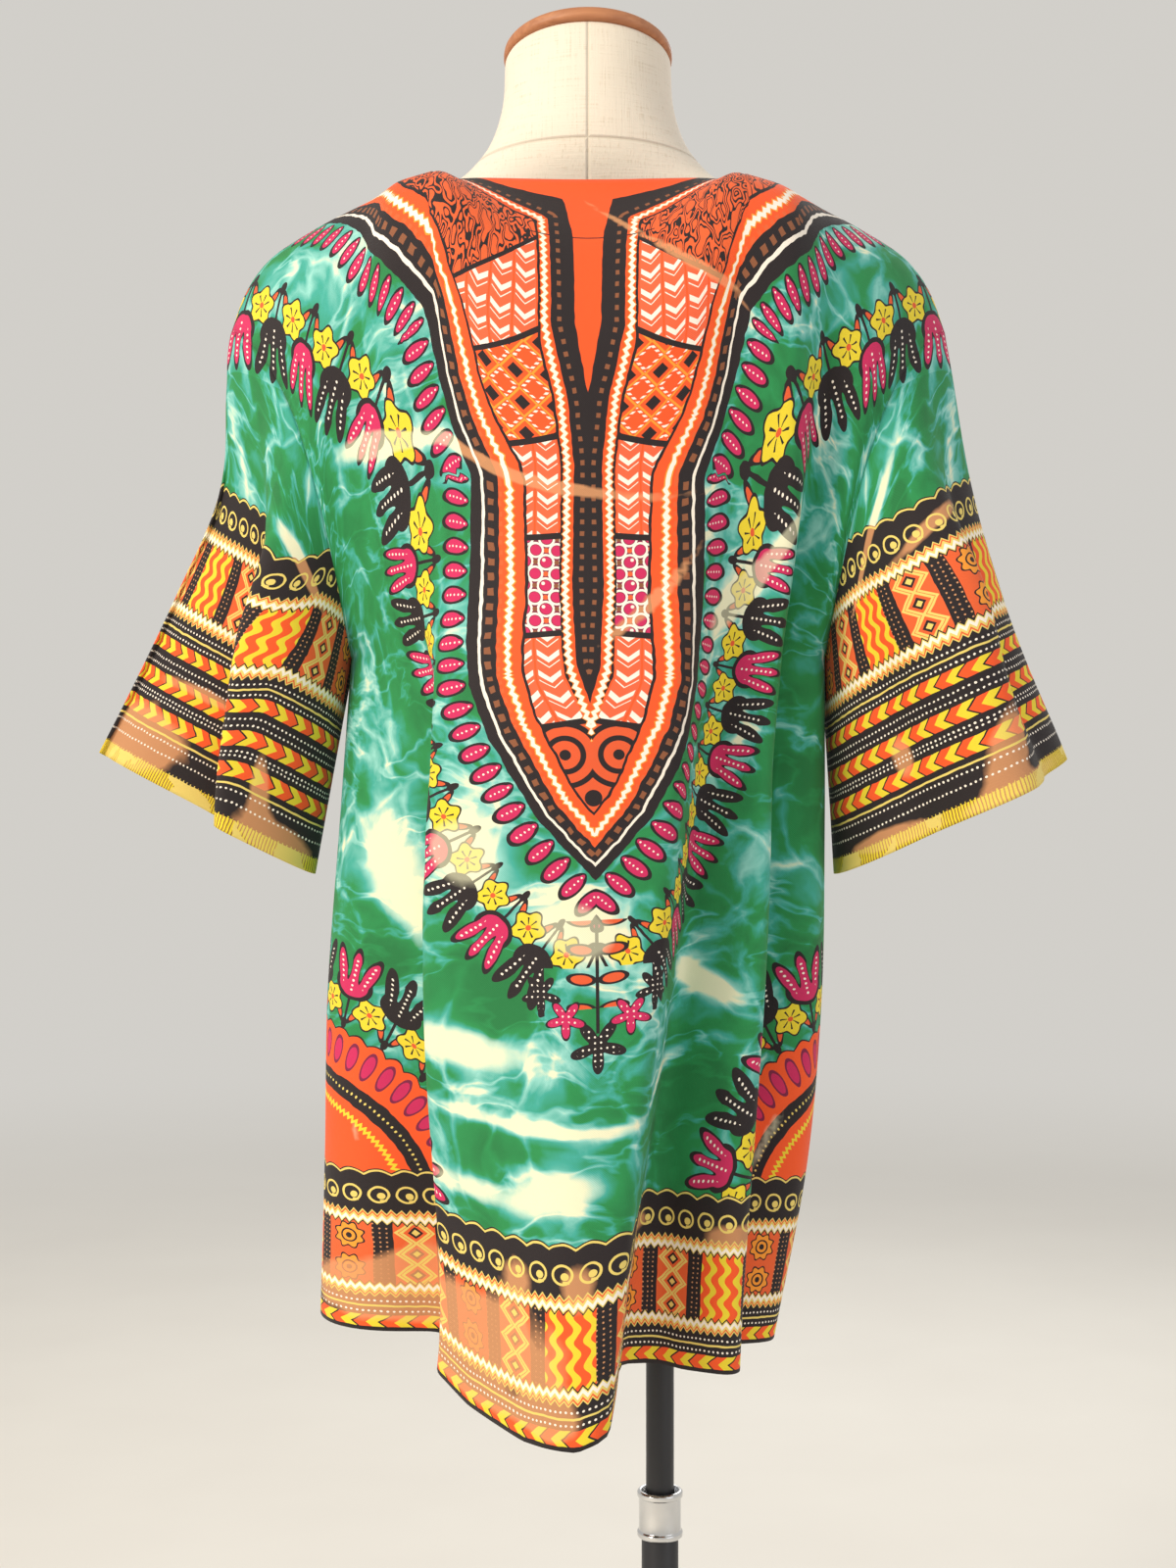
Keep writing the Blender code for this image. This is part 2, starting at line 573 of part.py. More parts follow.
def walled(name, points, faces, on_seam=None):
    """A closed wall round a sheet, whose rims follow each open edge."""
    normals = sheet_normals(points, faces)
    if on_seam is not None:
        normals[on_seam, 1] = 0.0
        normals /= np.linalg.norm(normals, axis=1, keepdims=True)
    outer = points + normals * WALL / 2
    inner = points - normals * WALL / 2
    triangles = []
    for face in faces:
        triangles.append((face[0], face[1], face[2]))
        if len(face) == 4:
            triangles.append((face[0], face[2], face[3]))
    count = len(points)
    edges = {edge for a, b, c in triangles for edge in ((a, b), (b, c), (c, a))}
    rims = sorted(edge for edge in edges if edge[::-1] not in edges)
    solid = list(triangles)
    solid += [(c + count, b + count, a + count) for a, b, c in triangles]
    for start, end in rims:
        solid.append((end, start, start + count))
        solid.append((end, start + count, end + count))
    return add_mesh(name, np.vstack([outer, inner]), solid, FORM_OFFSET)


def add_mesh(name, points, faces, shift=0.0):
    """A mesh object whose origin stays on the pole's line."""
    mesh = bpy.data.meshes.new(name)
    mesh.from_pydata([(point[0] + shift, point[1], point[2]) for point in points], [], faces)
    item = bpy.data.objects.new(name, mesh)
    bpy.context.scene.collection.objects.link(item)
    mesh.shade_smooth()
    mesh.set_sharp_from_angle(angle=math.radians(40))
    return item


def add_panels():
    for side in ("back", "front"):
        points, faces, on_seam = panel_sheet(side)
        walled(side + "_panel", points, faces, on_seam)


def add_sleeves():
    for hand in ("left", "right"):
        points, faces = sleeve_sheet(hand)
        walled("sleeve_" + hand, points, faces)


def form_ring(height, half_width, back, front):
    angles = np.linspace(0, 2 * math.pi, FORM_COLUMNS, endpoint=False)
    power = 2 / FORM_POWER
    x = half_width * np.sign(np.cos(angles)) * np.abs(np.cos(angles)) ** power
    depth = np.where(np.sin(angles) > 0, front, back)
    y = depth * np.sign(np.sin(angles)) * np.abs(np.sin(angles)) ** power
    return np.stack([x, y, np.full_like(x, height)], axis=1)


def stacked(name, rings, shift=FORM_OFFSET):
    """A closed solid through rings that run counter-clockwise from above, lowest first."""
    count = len(rings[0])
    faces = [tuple(range(count))[::-1]]
    for i in range(len(rings) - 1):
        for j in range(count):
            after = (j + 1) % count
            faces.append((i * count + j, i * count + after, (i + 1) * count + after, (i + 1) * count + j))
    top = (len(rings) - 1) * count
    faces.append(tuple(top + j for j in range(count)))
    return add_mesh(name, np.vstack(rings), faces, shift)


def tilted(ring, height):
    """A neck ring in the tilted plane of the cap, which is higher at the back."""
    moved = ring.copy()
    moved[:, 2] = height - ring[:, 1] * math.tan(NECK_TILT)
    return moved


def turned(name, profile, sides=ROUND_SIDES):
    """A closed ring round the pole's line. The profile's corners run counter-clockwise, seen with +X to the right."""
    corners = len(profile)
    points = []
    for i in range(sides):
        angle = 2 * math.pi * (i + 0.5) / sides
        for distance, height in profile:
            points.append((distance * math.cos(angle), distance * math.sin(angle), height))
    faces = []
    for i in range(sides):
        after = (i + 1) % sides
        for j in range(corners):
            k = (j + 1) % corners
            faces.append((i * corners + j, after * corners + j, after * corners + k, i * corners + k))
    return add_mesh(name, points, faces)


def tube_profile(radius, bore, bottom, top):
    return [(bore, bottom), (radius, bottom), (radius, top), (bore, top)]


def add_form():
    rings = [form_ring(row["height"], row["half_width"], row["back"], row["front"]) for row in FORM_RINGS]
    neck = form_ring(0, NECK_HALF_WIDTH, NECK_HALF_WIDTH, NECK_HALF_WIDTH - 0.002)
    top = CAP_HEIGHT - CAP_THICKNESS
    rings.append(tilted(neck, top - 0.012))
    rings.append(tilted(neck * 0.985, top))
    torso = stacked("form_torso", rings)
    cut_pole_hole(torso)
    wide = neck * (0.985 + CAP_OVERHANG / NECK_HALF_WIDTH)
    low = top + SEAM_GAP
    cap = [
        tilted(wide * 0.985, low),
        tilted(wide, low + 0.0015),
        tilted(wide, CAP_HEIGHT - 0.002),
        tilted(wide * 0.965, CAP_HEIGHT),
    ]
    stacked("neck_cap", cap)


def cut_pole_hole(torso):
    """The blind hole in the form's underside that takes the tube."""
    shape = bmesh.new()
    bmesh.ops.create_cone(
        shape,
        cap_ends=True,
        segments=ROUND_SIDES,
        radius1=INNER_TUBE_RADIUS + RUNNING_GAP,
        radius2=INNER_TUBE_RADIUS + RUNNING_GAP,
        depth=2 * INSERT_DEPTH,
    )
    mesh = bpy.data.meshes.new("pole_hole")
    shape.to_mesh(mesh)
    shape.free()
    cutter = bpy.data.objects.new("pole_hole", mesh)
    cutter.location = (0, 0, FORM_BOTTOM)
    cutter.hide_render = True
    cutter.display_type = "WIRE"
    bpy.context.scene.collection.objects.link(cutter)
    cut = torso.modifiers.new("pole_hole", "BOOLEAN")
    cut.object = cutter
    cut.solver = "EXACT"


def add_stand():
    tube_top = FORM_BOTTOM + INSERT_DEPTH - SEAM_GAP
    inner_bore = INNER_TUBE_RADIUS - TUBE_WALL
    turned("inner_tube", tube_profile(INNER_TUBE_RADIUS, inner_bore, INNER_TUBE_BOTTOM, tube_top))
    outer_bore = INNER_TUBE_RADIUS + RUNNING_GAP
    base_top = BASE_EDGE + BASE_DOME
    turned("outer_tube", tube_profile(OUTER_TUBE_RADIUS, outer_bore, base_top + SEAM_GAP, OUTER_TUBE_TOP))
    collar_bore = OUTER_TUBE_RADIUS + SEAM_GAP
    collar = [
        (collar_bore, COLLAR_BOTTOM),
        (COLLAR_RADIUS, COLLAR_BOTTOM),
        (COLLAR_RADIUS, COLLAR_TOP - 0.0015),
        (COLLAR_RADIUS - 0.0015, COLLAR_TOP),
        (outer_bore, COLLAR_TOP),
        (outer_bore, OUTER_TUBE_TOP + SEAM_GAP),
        (collar_bore, OUTER_TUBE_TOP + SEAM_GAP),
    ]
    turned("collar", collar)
    flange_bottom = base_top + SEAM_GAP
    socket = [
        (collar_bore, flange_bottom),
        (SOCKET_FLANGE_RADIUS, flange_bottom),
        (SOCKET_FLANGE_RADIUS, flange_bottom + SOCKET_FLANGE_HEIGHT),
        (SOCKET_RADIUS, flange_bottom + SOCKET_FLANGE_HEIGHT + 0.004),
        (SOCKET_RADIUS, flange_bottom + SOCKET_HEIGHT - 0.002),
        (SOCKET_RADIUS - 0.002, flange_bottom + SOCKET_HEIGHT),
        (collar_bore, flange_bottom + SOCKET_HEIGHT),
    ]
    turned("socket", socket)
    add_base(base_top)
    add_knob()


def add_base(base_top):
    """A round plate, flat under the socket and sloping gently to its edge."""
    sides = 48
    circle = []
    for i in range(sides):
        angle = 2 * math.pi * i / sides
        circle.append((math.cos(angle), math.sin(angle), 0.0))
    circle = np.array(circle)
    rings = []
    for radius, height in (
        (BASE_RADIUS - 0.0015, 0.0),
        (BASE_RADIUS, 0.0015),
        (BASE_RADIUS, BASE_EDGE - 0.0015),
        (BASE_RADIUS - 0.002, BASE_EDGE),
        (SOCKET_FLANGE_RADIUS + 0.006, base_top),
    ):
        ring = circle * radius
        ring[:, 2] = height
        rings.append(ring)
    stacked("base", rings, shift=0.0)


def add_knob():
    """The thumb screw that clamps the tube, behind the collar."""
    profile = [
        (KNOB_SHAFT_RADIUS, 0.0),
        (KNOB_SHAFT_RADIUS, KNOB_LENGTH * 0.4),
        (KNOB_RADIUS * 0.86, KNOB_LENGTH * 0.45),
        (KNOB_RADIUS, KNOB_LENGTH * 0.55),
        (KNOB_RADIUS, KNOB_LENGTH * 0.9),
        (KNOB_RADIUS * 0.86, KNOB_LENGTH),
    ]
    sides = 16
    start = COLLAR_RADIUS * math.cos(math.pi / ROUND_SIDES) + SEAM_GAP
    height = (COLLAR_BOTTOM + OUTER_TUBE_TOP) / 2
    rings = []
    for radius, distance in profile:
        angles = np.linspace(0, 2 * math.pi, sides, endpoint=False)
        ring = np.stack(
            [-radius * np.cos(angles), np.full(sides, start + distance), height + radius * np.sin(angles)], axis=1
        )
        rings.append(ring)
    stacked("clamp_knob", rings, shift=0.0)


def add_materials():
    for item in bpy.data.objects:
        look = MATERIALS.get(item.name)
        if look is None:
            continue
        material = bpy.data.materials.new(item.name)
        material.use_nodes = True
        shader = material.node_tree.nodes["Principled BSDF"]
        shader.inputs["Base Color"].default_value = (*look["color"], 1.0)
        shader.inputs["Roughness"].default_value = look["roughness"]
        shader.inputs["Metallic"].default_value = look["metallic"]
        item.data.materials.append(material)


def main():
    clear_scene()
    add_panels()
    add_sleeves()
    add_form()
    add_stand()
    add_materials()


main()
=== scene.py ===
# A printed cotton dashiki on a linen dress form, on a telescopic stand.
# Metres, +Z up, floor at z = 0. The back of the shirt faces -Y, towards the camera.

import math

import bpy
import numpy as np
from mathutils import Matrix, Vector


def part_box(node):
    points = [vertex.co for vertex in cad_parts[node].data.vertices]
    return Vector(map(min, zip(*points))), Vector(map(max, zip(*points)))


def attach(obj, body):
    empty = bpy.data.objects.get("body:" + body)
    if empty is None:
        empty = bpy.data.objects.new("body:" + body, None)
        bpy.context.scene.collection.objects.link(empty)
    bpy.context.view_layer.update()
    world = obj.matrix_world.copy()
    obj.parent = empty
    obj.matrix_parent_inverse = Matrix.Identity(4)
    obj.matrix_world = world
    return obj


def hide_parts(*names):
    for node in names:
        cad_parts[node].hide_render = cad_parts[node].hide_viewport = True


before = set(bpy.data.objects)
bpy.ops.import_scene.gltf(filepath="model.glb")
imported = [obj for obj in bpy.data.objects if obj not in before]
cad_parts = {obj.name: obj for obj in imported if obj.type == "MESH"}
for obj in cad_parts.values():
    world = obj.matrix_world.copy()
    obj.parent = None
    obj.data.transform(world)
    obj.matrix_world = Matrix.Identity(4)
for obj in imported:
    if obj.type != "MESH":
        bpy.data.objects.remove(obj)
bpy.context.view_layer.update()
print("frame loaded")

# camera, light and floor
cameraView = {"x": -0.049, "y": -1.45, "height": 0.97, "lens": 32.6, "sensor": 24.0}
roomLight = {
    "key": {"at": (-2.3, -2.0, 2.4), "aim": (-0.05, 0.0, 1.0), "size": 1.3, "power": 96, "color": "#FFF3E2"},
    "fill": {"at": (2.4, -2.0, 1.5), "aim": (-0.05, 0.0, 0.9), "size": 2.2, "power": 16, "color": "#F3F6FF"},
    "rim": {"at": (0.6, 2.6, 2.4), "aim": (-0.05, 0.0, 1.0), "size": 2.0, "power": 34, "color": "#FFFFFF"},
    "world": "#E9E6E0",
    "worldStrength": 0.79,
}


def toLinear(hexText):  # sRGB hex to a linear colour
    parts = [int(hexText[i : i + 2], 16) / 255 for i in (1, 3, 5)]
    linear = [part / 12.92 if part <= 0.04045 else ((part + 0.055) / 1.055) ** 2.4 for part in parts]
    return (*linear, 1.0)


def addNode(tree, kind, inputs=(), output=0, **settings):  # one shader node with its settings and links
    node = tree.nodes.new("ShaderNode" + kind)
    for name, value in settings.items():
        setattr(node, name, value)
    pairs = inputs.items() if isinstance(inputs, dict) else enumerate(inputs)
    for key, value in pairs:
        if isinstance(value, bpy.types.NodeSocket):
            tree.links.new(value, node.inputs[key])
        elif value is not None:
            node.inputs[key].default_value = value
    return node.outputs[output]


def newMaterial(name, finish):  # its shader's own values, by socket
    material = bpy.data.materials.new(name)
    material.use_nodes = True
    shader = material.node_tree.nodes["Principled BSDF"]
    for socket, value in finish.items():
        shader.inputs[socket].default_value = value
    return material, material.node_tree, shader


def linkObject(name, data):
    item = bpy.data.objects.new(name, data)
    bpy.context.scene.collection.objects.link(item)
    return item


def setUpCamera():
    data = bpy.data.cameras.new("photoCamera")
    data.sensor_width = cameraView["sensor"]  # the long side of the upright frame
    data.lens = cameraView["lens"]
    item = linkObject("photoCamera", data)
    item.location = (cameraView["x"], cameraView["y"], cameraView["height"])
    item.rotation_euler = (math.pi / 2, 0, 0)
    bpy.context.scene.camera = item


def setUpLights():
    for name in ("key", "fill", "rim"):
        lamp = roomLight[name]
        data = bpy.data.lights.new(name, "AREA")
        data.shape = "DISK"
        data.size = lamp["size"]
        data.energy = lamp["power"]
        data.color = toLinear(lamp["color"])[:3]
        item = linkObject(name, data)
        item.location = lamp["at"]
        away = np.array(lamp["at"]) - np.array(lamp["aim"])
        item.rotation_euler = (math.acos(away[2] / np.linalg.norm(away)), 0, math.atan2(away[0], -away[1]))
    world = bpy.data.worlds.new("studio")
    world.use_nodes = True
    world.node_tree.nodes["Background"].inputs[0].default_value = toLinear(roomLight["world"])
    world.node_tree.nodes["Background"].inputs[1].default_value = roomLight["worldStrength"]
    bpy.context.scene.world = world
    bpy.context.scene.view_settings.view_transform = "Standard"


def setUpFloor():
    bpy.ops.object.select_all(action="DESELECT")
    bpy.ops.mesh.primitive_plane_add(size=60, location=(0, 0, -0.0005))
    floor = bpy.context.object
    floor.name = "floor"
    # matt, nearly even, a little mottled
    material, tree, shader = newMaterial("paintedConcrete", {"Roughness": 0.85})
    place = addNode(tree, "TexCoord", output=3)
    cloud = addNode(tree, "TexNoise", {"Vector": place, "Scale": 3.0, "Detail": 3.0})
    tone = addNode(
        tree, "Mix", {0: cloud, 6: toLinear("#DAD6CF"), 7: toLinear("#E2DFD8")}, output=2, data_type="RGBA"
    )
    tree.links.new(tone, shader.inputs["Base Color"])
    # far away the floor meets the studio's even background
    distance = addNode(tree, "VectorMath", (place,), output=1, operation="LENGTH")
    far = addNode(tree, "MapRange", (distance, 1.6, 6.0), interpolation_type="SMOOTHSTEP")
    glow = addNode(tree, "Emission", (toLinear(roomLight["world"]), roomLight["worldStrength"]))
    blend = addNode(tree, "MixShader", (far, shader.outputs[0], glow))
    tree.links.new(blend, tree.nodes["Material Output"].inputs["Surface"])
    floor.data.materials.append(material)


setUpCamera()
setUpLights()
setUpFloor()
print("camera, lights and floor set")

# the shirt's cut and how it hangs
shirtCut = {
    "panelHalf": 0.285,
    "yokeLength": 0.32,
    "underarmHeight": 1.055,
    "hemHeight": 0.597,
    "neckHalf": 0.100,
    "neckCornerHeight": 1.3752,
    "neckShare": 0.393,
    "neckline": {"back": (0.068, 1.362), "front": (0.066, 1.338)},
    "slitLength": 0.13,
    "slitHalfOpening": 0.011,
    "slitEase": 0.09,
    "shoulderBlade": 0.45,
    "shoulderRoundness": 1.8,
    "seamReach": 0.3,
    "wall": 0.0009,
    "offset": -0.049,
    "ringPower": 2.2,
    "dense": 96,
    "edgeEase": 0.08,
}
shoulderLine = [  # half width and height, from the neck to the armhole
    (0.100, 1.3752), (0.141, 1.3655), (0.169, 1.3540), (0.190, 1.3430),
    (0.211, 1.3300), (0.224, 1.3170), (0.234, 1.3000), (0.242, 1.2770),
]
armholeLine = [  # half width, depth and height, from the shoulder to the underarm
    (0.242, 0.000, 1.277), (0.232, 0.022, 1.270), (0.212, 0.043, 1.248), (0.193, 0.056, 1.212),
    (0.178, 0.060, 1.165), (0.167, 0.050, 1.112), (0.161, 0.027, 1.070), (0.160, 0.000, 1.055),
]
bodyRings = {  # from the underarm, level 1, to the hem, level 2
    "level": (1.00, 1.25, 1.50, 1.75, 2.00),
    "middle": (0.000, 0.004, 0.006, 0.006, 0.006),
    "left": (0.160, 0.168, 0.176, 0.178, 0.181),
    "right": (0.160, 0.160, 0.158, 0.148, 0.126),
    "back": (0.110, 0.108, 0.106, 0.102, 0.098),
    "front": (0.116, 0.116, 0.116, 0.116, 0.116),
}
# a fold turns the cloth by an angle and back again: place at the top and at the hem, length,
# turning length, the angle at the shoulder, at mid-body and at the hem, and how late it starts
backFolds = [
    (-0.235, -0.232, 0.040, 0.030, 0, -6, -22),
    (-0.160, -0.160, 0.012, 0.016, 34, 0, 0),
    (-0.060, -0.157, 0.020, 0.022, 0, 96, 98, 9),
    (-0.080, -0.080, 0.074, 0.050, 0, 10, 48),
    (0.141, 0.032, 0.040, 0.018, 0, -64, -80, 3),
    (0.135, 0.118, 0.030, 0.030, 0, 36, 50),
    (0.170, 0.172, 0.022, 0.020, -22, -66, -46),
    (0.215, 0.220, 0.025, 0.025, 3, 50, 34),
]
frontFolds = [
    (-0.200, -0.195, 0.028, 0.026, 0, 40, 60),
    (-0.135, -0.130, 0.030, 0.030, 0, -42, -66),
    (-0.065, -0.065, 0.030, 0.032, 0, 38, 66),
    (-0.005, -0.002, 0.030, 0.034, 0, -36, -62),
    (0.065, 0.067, 0.030, 0.034, 0, 38, 62),
    (0.130, 0.132, 0.030, 0.030, 0, -42, -64),
]
hemSway = {  # place across the cloth, and how far the hem hangs above or below its level there
    "back": [
        (-0.285, 0.017), (-0.200, 0.013), (-0.140, 0.001), (-0.100, -0.016), (-0.050, -0.028),
        (-0.012, -0.030), (0.030, -0.012), (0.060, 0.001), (0.110, -0.003), (0.160, -0.003),
        (0.285, 0.004),
    ],
    "front": [(-0.285, 0.017), (-0.150, 0.004), (0.000, -0.008), (0.150, -0.002), (0.285, 0.004)],
}
panelMesh = {
    "yokeRows": 84, "bodyRows": 120, "columns": 190, "densestLevel": 1.7, "widest": 0.0045, "turnStep": 6,
}


def arcLengths(points):
    steps = np.linalg.norm(np.diff(points, axis=0), axis=1)
    return np.concatenate([[0.0], np.cumsum(steps)])


def resample(points, shares):  # points at these shares of a polyline's length
    lengths = arcLengths(points)
    wanted = np.asarray(shares) * lengths[-1]
    return np.stack([np.interp(wanted, lengths, points[:, axis]) for axis in range(points.shape[1])], axis=1)


def smooth(value):
    value = np.clip(value, 0.0, 1.0)
    return value * value * (3 - 2 * value)


def hermite(share, start, end, startSlope, endSlope):
    square = share * share
    cube = square * share
    return (
        (2 * cube - 3 * square + 1) * start + (cube - 2 * square + share) * startSlope
        + (3 * square - 2 * cube) * end + (cube - square) * endSlope
    )


def curveThrough(points, count, closed=False):
    points = np.array(points, dtype=float)
    if closed:
        padded = np.vstack([points[-1], points, points[0], points[1]])
    else:
        padded = np.vstack([2 * points[0] - points[1], points, 2 * points[-1] - points[-2]])
    pieces = []
    for i in range(1, len(padded) - 2):
        before, start, end, after = padded[i - 1 : i + 3]
        for share in np.linspace(0, 1, 24, endpoint=False):
            pieces.append(hermite(share, start, end, (end - before) / 2, (after - start) / 2))
    pieces.append(padded[-2])
    return resample(np.array(pieces), np.linspace(0, 1, count))


def smoothValue(keys, values, at):  # a smooth curve through a table
    keys = np.array(keys, dtype=float)
    values = np.array(values, dtype=float)
    slopes = np.gradient(values, keys)
    i = int(np.clip(np.searchsorted(keys, at) - 1, 0, len(keys) - 2))
    width = keys[i + 1] - keys[i]
    return hermite((at - keys[i]) / width, values[i], values[i + 1], width * slopes[i], width * slopes[i + 1])


def ringQuarter(halfWidth, depth, shares):  # from the middle of the back to the side seam
    angles = np.linspace(0, math.pi / 2, 90)
    power = 2 / shirtCut["ringPower"]
    quarter = np.stack([halfWidth * np.sin(angles) ** power, -depth * np.cos(angles) ** power], axis=1)
    return resample(quarter, shares)


def topEdge(side, shares):  # the neckline, then the shoulder, from the middle to the armhole
    depth, height = shirtCut["neckline"][side]
    angles = np.linspace(0, math.pi / 2, 60)
    rise = shirtCut["neckCornerHeight"] - height
    out, back = np.sin(angles), np.cos(angles)
    neck = np.stack([shirtCut["neckHalf"] * out, -depth * back, height + rise * out**2], axis=1)
    shoulder = curveThrough([(halfWidth, 0.0, level) for halfWidth, level in shoulderLine], 120)
    neckShare = shirtCut["neckShare"]
    points = np.zeros((len(shares), 3))
    onNeck = shares <= neckShare
    points[onNeck] = resample(neck, shares[onNeck] / neckShare)
    points[~onNeck] = resample(shoulder, (shares[~onNeck] - neckShare) / (1 - neckShare))
    return points


def armholeEdge(shares):
    half = [(halfWidth, -depth, height) for halfWidth, depth, height in armholeLine]
    other = [(halfWidth, depth, height) for halfWidth, depth, height in armholeLine[-2:0:-1]]
    ring = curveThrough(half + other, 481, closed=True)
    return resample(ring[: int(np.argmin(ring[:, 2])) + 1], shares)


def yokeGrid(side):  # the right half above the underarm, without folds
    dense = shirtCut["dense"]
    shares = np.linspace(0, 1, dense + 1)
    top = topEdge(side, shares)
    bottom = np.zeros_like(top)
    bottom[:, :2] = ringQuarter(bodyRings["right"][0], bodyRings[side][0], shares)
    bottom[:, 2] = shirtCut["underarmHeight"]
    seam = armholeEdge(shares)
    out = np.sin(math.pi / 2 * np.minimum(1, shares / shirtCut["shoulderBlade"]))[:, None]
    over = smooth(shares / shirtCut["neckShare"])[None, :]
    down = (1 - over) * shares[:, None] + over * shares[:, None] ** shirtCut["shoulderRoundness"]
    grid = np.zeros((dense + 1, dense + 1, 3))
    for axis, fall in enumerate((shares[:, None], out, down)):
        grid[:, :, axis] = top[None, :, axis] + (bottom[None, :, axis] - top[None, :, axis]) * fall
    start = shirtCut["seamReach"]
    reach = (np.clip((shares - start) / (1 - start), 0, 1) ** 2)[None, :, None]
    grid += reach * (seam[:, None, :] - grid[:, -1:, :])
    for i in range(dense + 1):
        grid[:, i] = resample(grid[:, i], shares)
    return grid


def bodyGrid(side, hand):  # the half below the underarm, without folds
    dense = shirtCut["dense"]
    shares = np.linspace(0, 1, dense + 1)
    grid = np.zeros((dense + 1, dense + 1, 3))
    top, fall = shirtCut["underarmHeight"], shirtCut["hemHeight"] - shirtCut["underarmHeight"]
    keys = ("middle", hand, side)
    for i, level in enumerate(np.linspace(1, 2, dense + 1)):
        middle, reach, depth = (smoothValue(bodyRings["level"], bodyRings[key], level) for key in keys)
        halfWidth = reach - middle if hand == "right" else reach + middle
        grid[i, :, :2] = ringQuarter(halfWidth, depth, shares)
        grid[i, :, 2] = top + fall * (level - 1)
    return grid


def baseRows(side):
    yoke = yokeGrid(side)
    left, right = (np.vstack([yoke, bodyGrid(side, hand)[1:]]) for hand in ("left", "right"))
    rows = np.concatenate([left[:, :0:-1] * np.array([-1.0, 1.0, 1.0]), right], axis=1)
    for i, level in enumerate(np.linspace(0, 2, len(rows))):
        rows[i, :, 0] += smoothValue(bodyRings["level"], bodyRings["middle"], max(1.0, level))
    return rows


def foldAngle(fold, level):
    top, mid, hem = fold[4:7]
    late = fold[7] if len(fold) > 7 else 1
    if level < 1.2:
        angle = top + (mid - top) * smooth((level - 0.1) / 1.1) ** late
    else:
        angle = mid + (hem - mid) * smooth((level - 1.2) / 0.8)
    return math.radians(angle * smooth(level / 0.25))


def foldPath(folds, level, half):  # how far the cloth runs along its base and out from it
    across = np.linspace(-half, half, 1601)
    turning = np.zeros_like(across)
    for fold in folds:
        at = fold[0] + (fold[1] - fold[0]) * level / 2
        reach = (fold[2] + fold[3]) / 2
        turning += foldAngle(fold, level) * smooth((reach - np.abs(across - at)) / fold[3] + 0.5)
    step = across[1] - across[0]
    along = np.cumsum(np.cos(turning)) * step
    along -= along[len(across) // 2]
    out = np.cumsum(np.sin(turning)) * step
    out -= out[0] + (out[-1] - out[0]) * smooth((across + half) / (2 * half))
    return across, along, out * smooth((half - np.abs(across)) / shirtCut["edgeEase"]), turning


def fitTo(along, leftLength, rightLength):  # eases the cloth so that it ends on its seams
    right = along - (along[-1] - rightLength) * (np.maximum(along, 0) / along[-1]) ** 3
    left = along - (along[0] + leftLength) * (np.maximum(-along, 0) / -along[0]) ** 3
    return np.where(along >= 0, right, left)


def betweenRows(rows, at):
    low = int(min(math.floor(at), len(rows) - 2))
    row = rows[low] + (rows[low + 1] - rows[low]) * (at - low)
    return row, rows[max(low - 1, 0)], rows[min(low + 2, len(rows) - 1)]


def raisedFrom(row, normals, lengths, where, amount):  # points along a row, lifted off it by these amounts
    columns = [
        np.interp(where, lengths, row[:, axis]) + amount * np.interp(where, lengths, normals[:, axis])
        for axis in range(3)
    ]
    return np.stack(columns, axis=1)


def clothRow(base, folds, level, positions, opening):
    row, above, below = betweenRows(base, level * shirtCut["dense"])
    lengths = arcLengths(row)
    lengths -= lengths[len(row) // 2]
    across, along, out, _ = foldPath(folds, level, shirtCut["panelHalf"])
    where = np.interp(positions, across, fitTo(along, -lengths[0], lengths[-1]))
    if opening > 0:
        side = np.sign(positions)
        middle = np.flatnonzero(side == 0)
        side[middle[0]] = -1
        side[middle[-1]] = 1
        where += side * opening * np.clip(1 - np.abs(positions) / shirtCut["slitEase"], 0, 1) ** 2
    normals = np.cross(np.gradient(row, axis=0), above - below)
    normals /= np.maximum(np.linalg.norm(normals, axis=1, keepdims=True), 1e-12)
    return raisedFrom(row, normals, lengths, where, np.interp(positions, across, out))


def spreadColumns(folds, half, count, mesh):  # closer together where the cloth turns
    across, _, _, turning = foldPath(folds, mesh["densestLevel"], half)
    need = 1 / mesh["widest"] + np.abs(np.gradient(turning, across)) / math.radians(mesh["turnStep"])
    total = np.concatenate([[0.0], np.cumsum((need[1:] + need[:-1]) / 2)])
    positions = np.interp(np.linspace(0, total[-1], count + 1), total, across)
    positions[np.argmin(np.abs(positions))] = 0.0
    return positions


def clothDown(level):  # distance down the cloth from its top edge
    bodyLength = shirtCut["underarmHeight"] - shirtCut["hemHeight"]
    return shirtCut["yokeLength"] * min(level, 1.0) + bodyLength * max(level - 1.0, 0.0)


def gridFaces(rows, count):
    upper = np.arange(rows - 1)[:, None] * count + np.arange(count - 1)[None, :]
    return np.stack([upper, upper + count, upper + count + 1, upper + 1], axis=2)


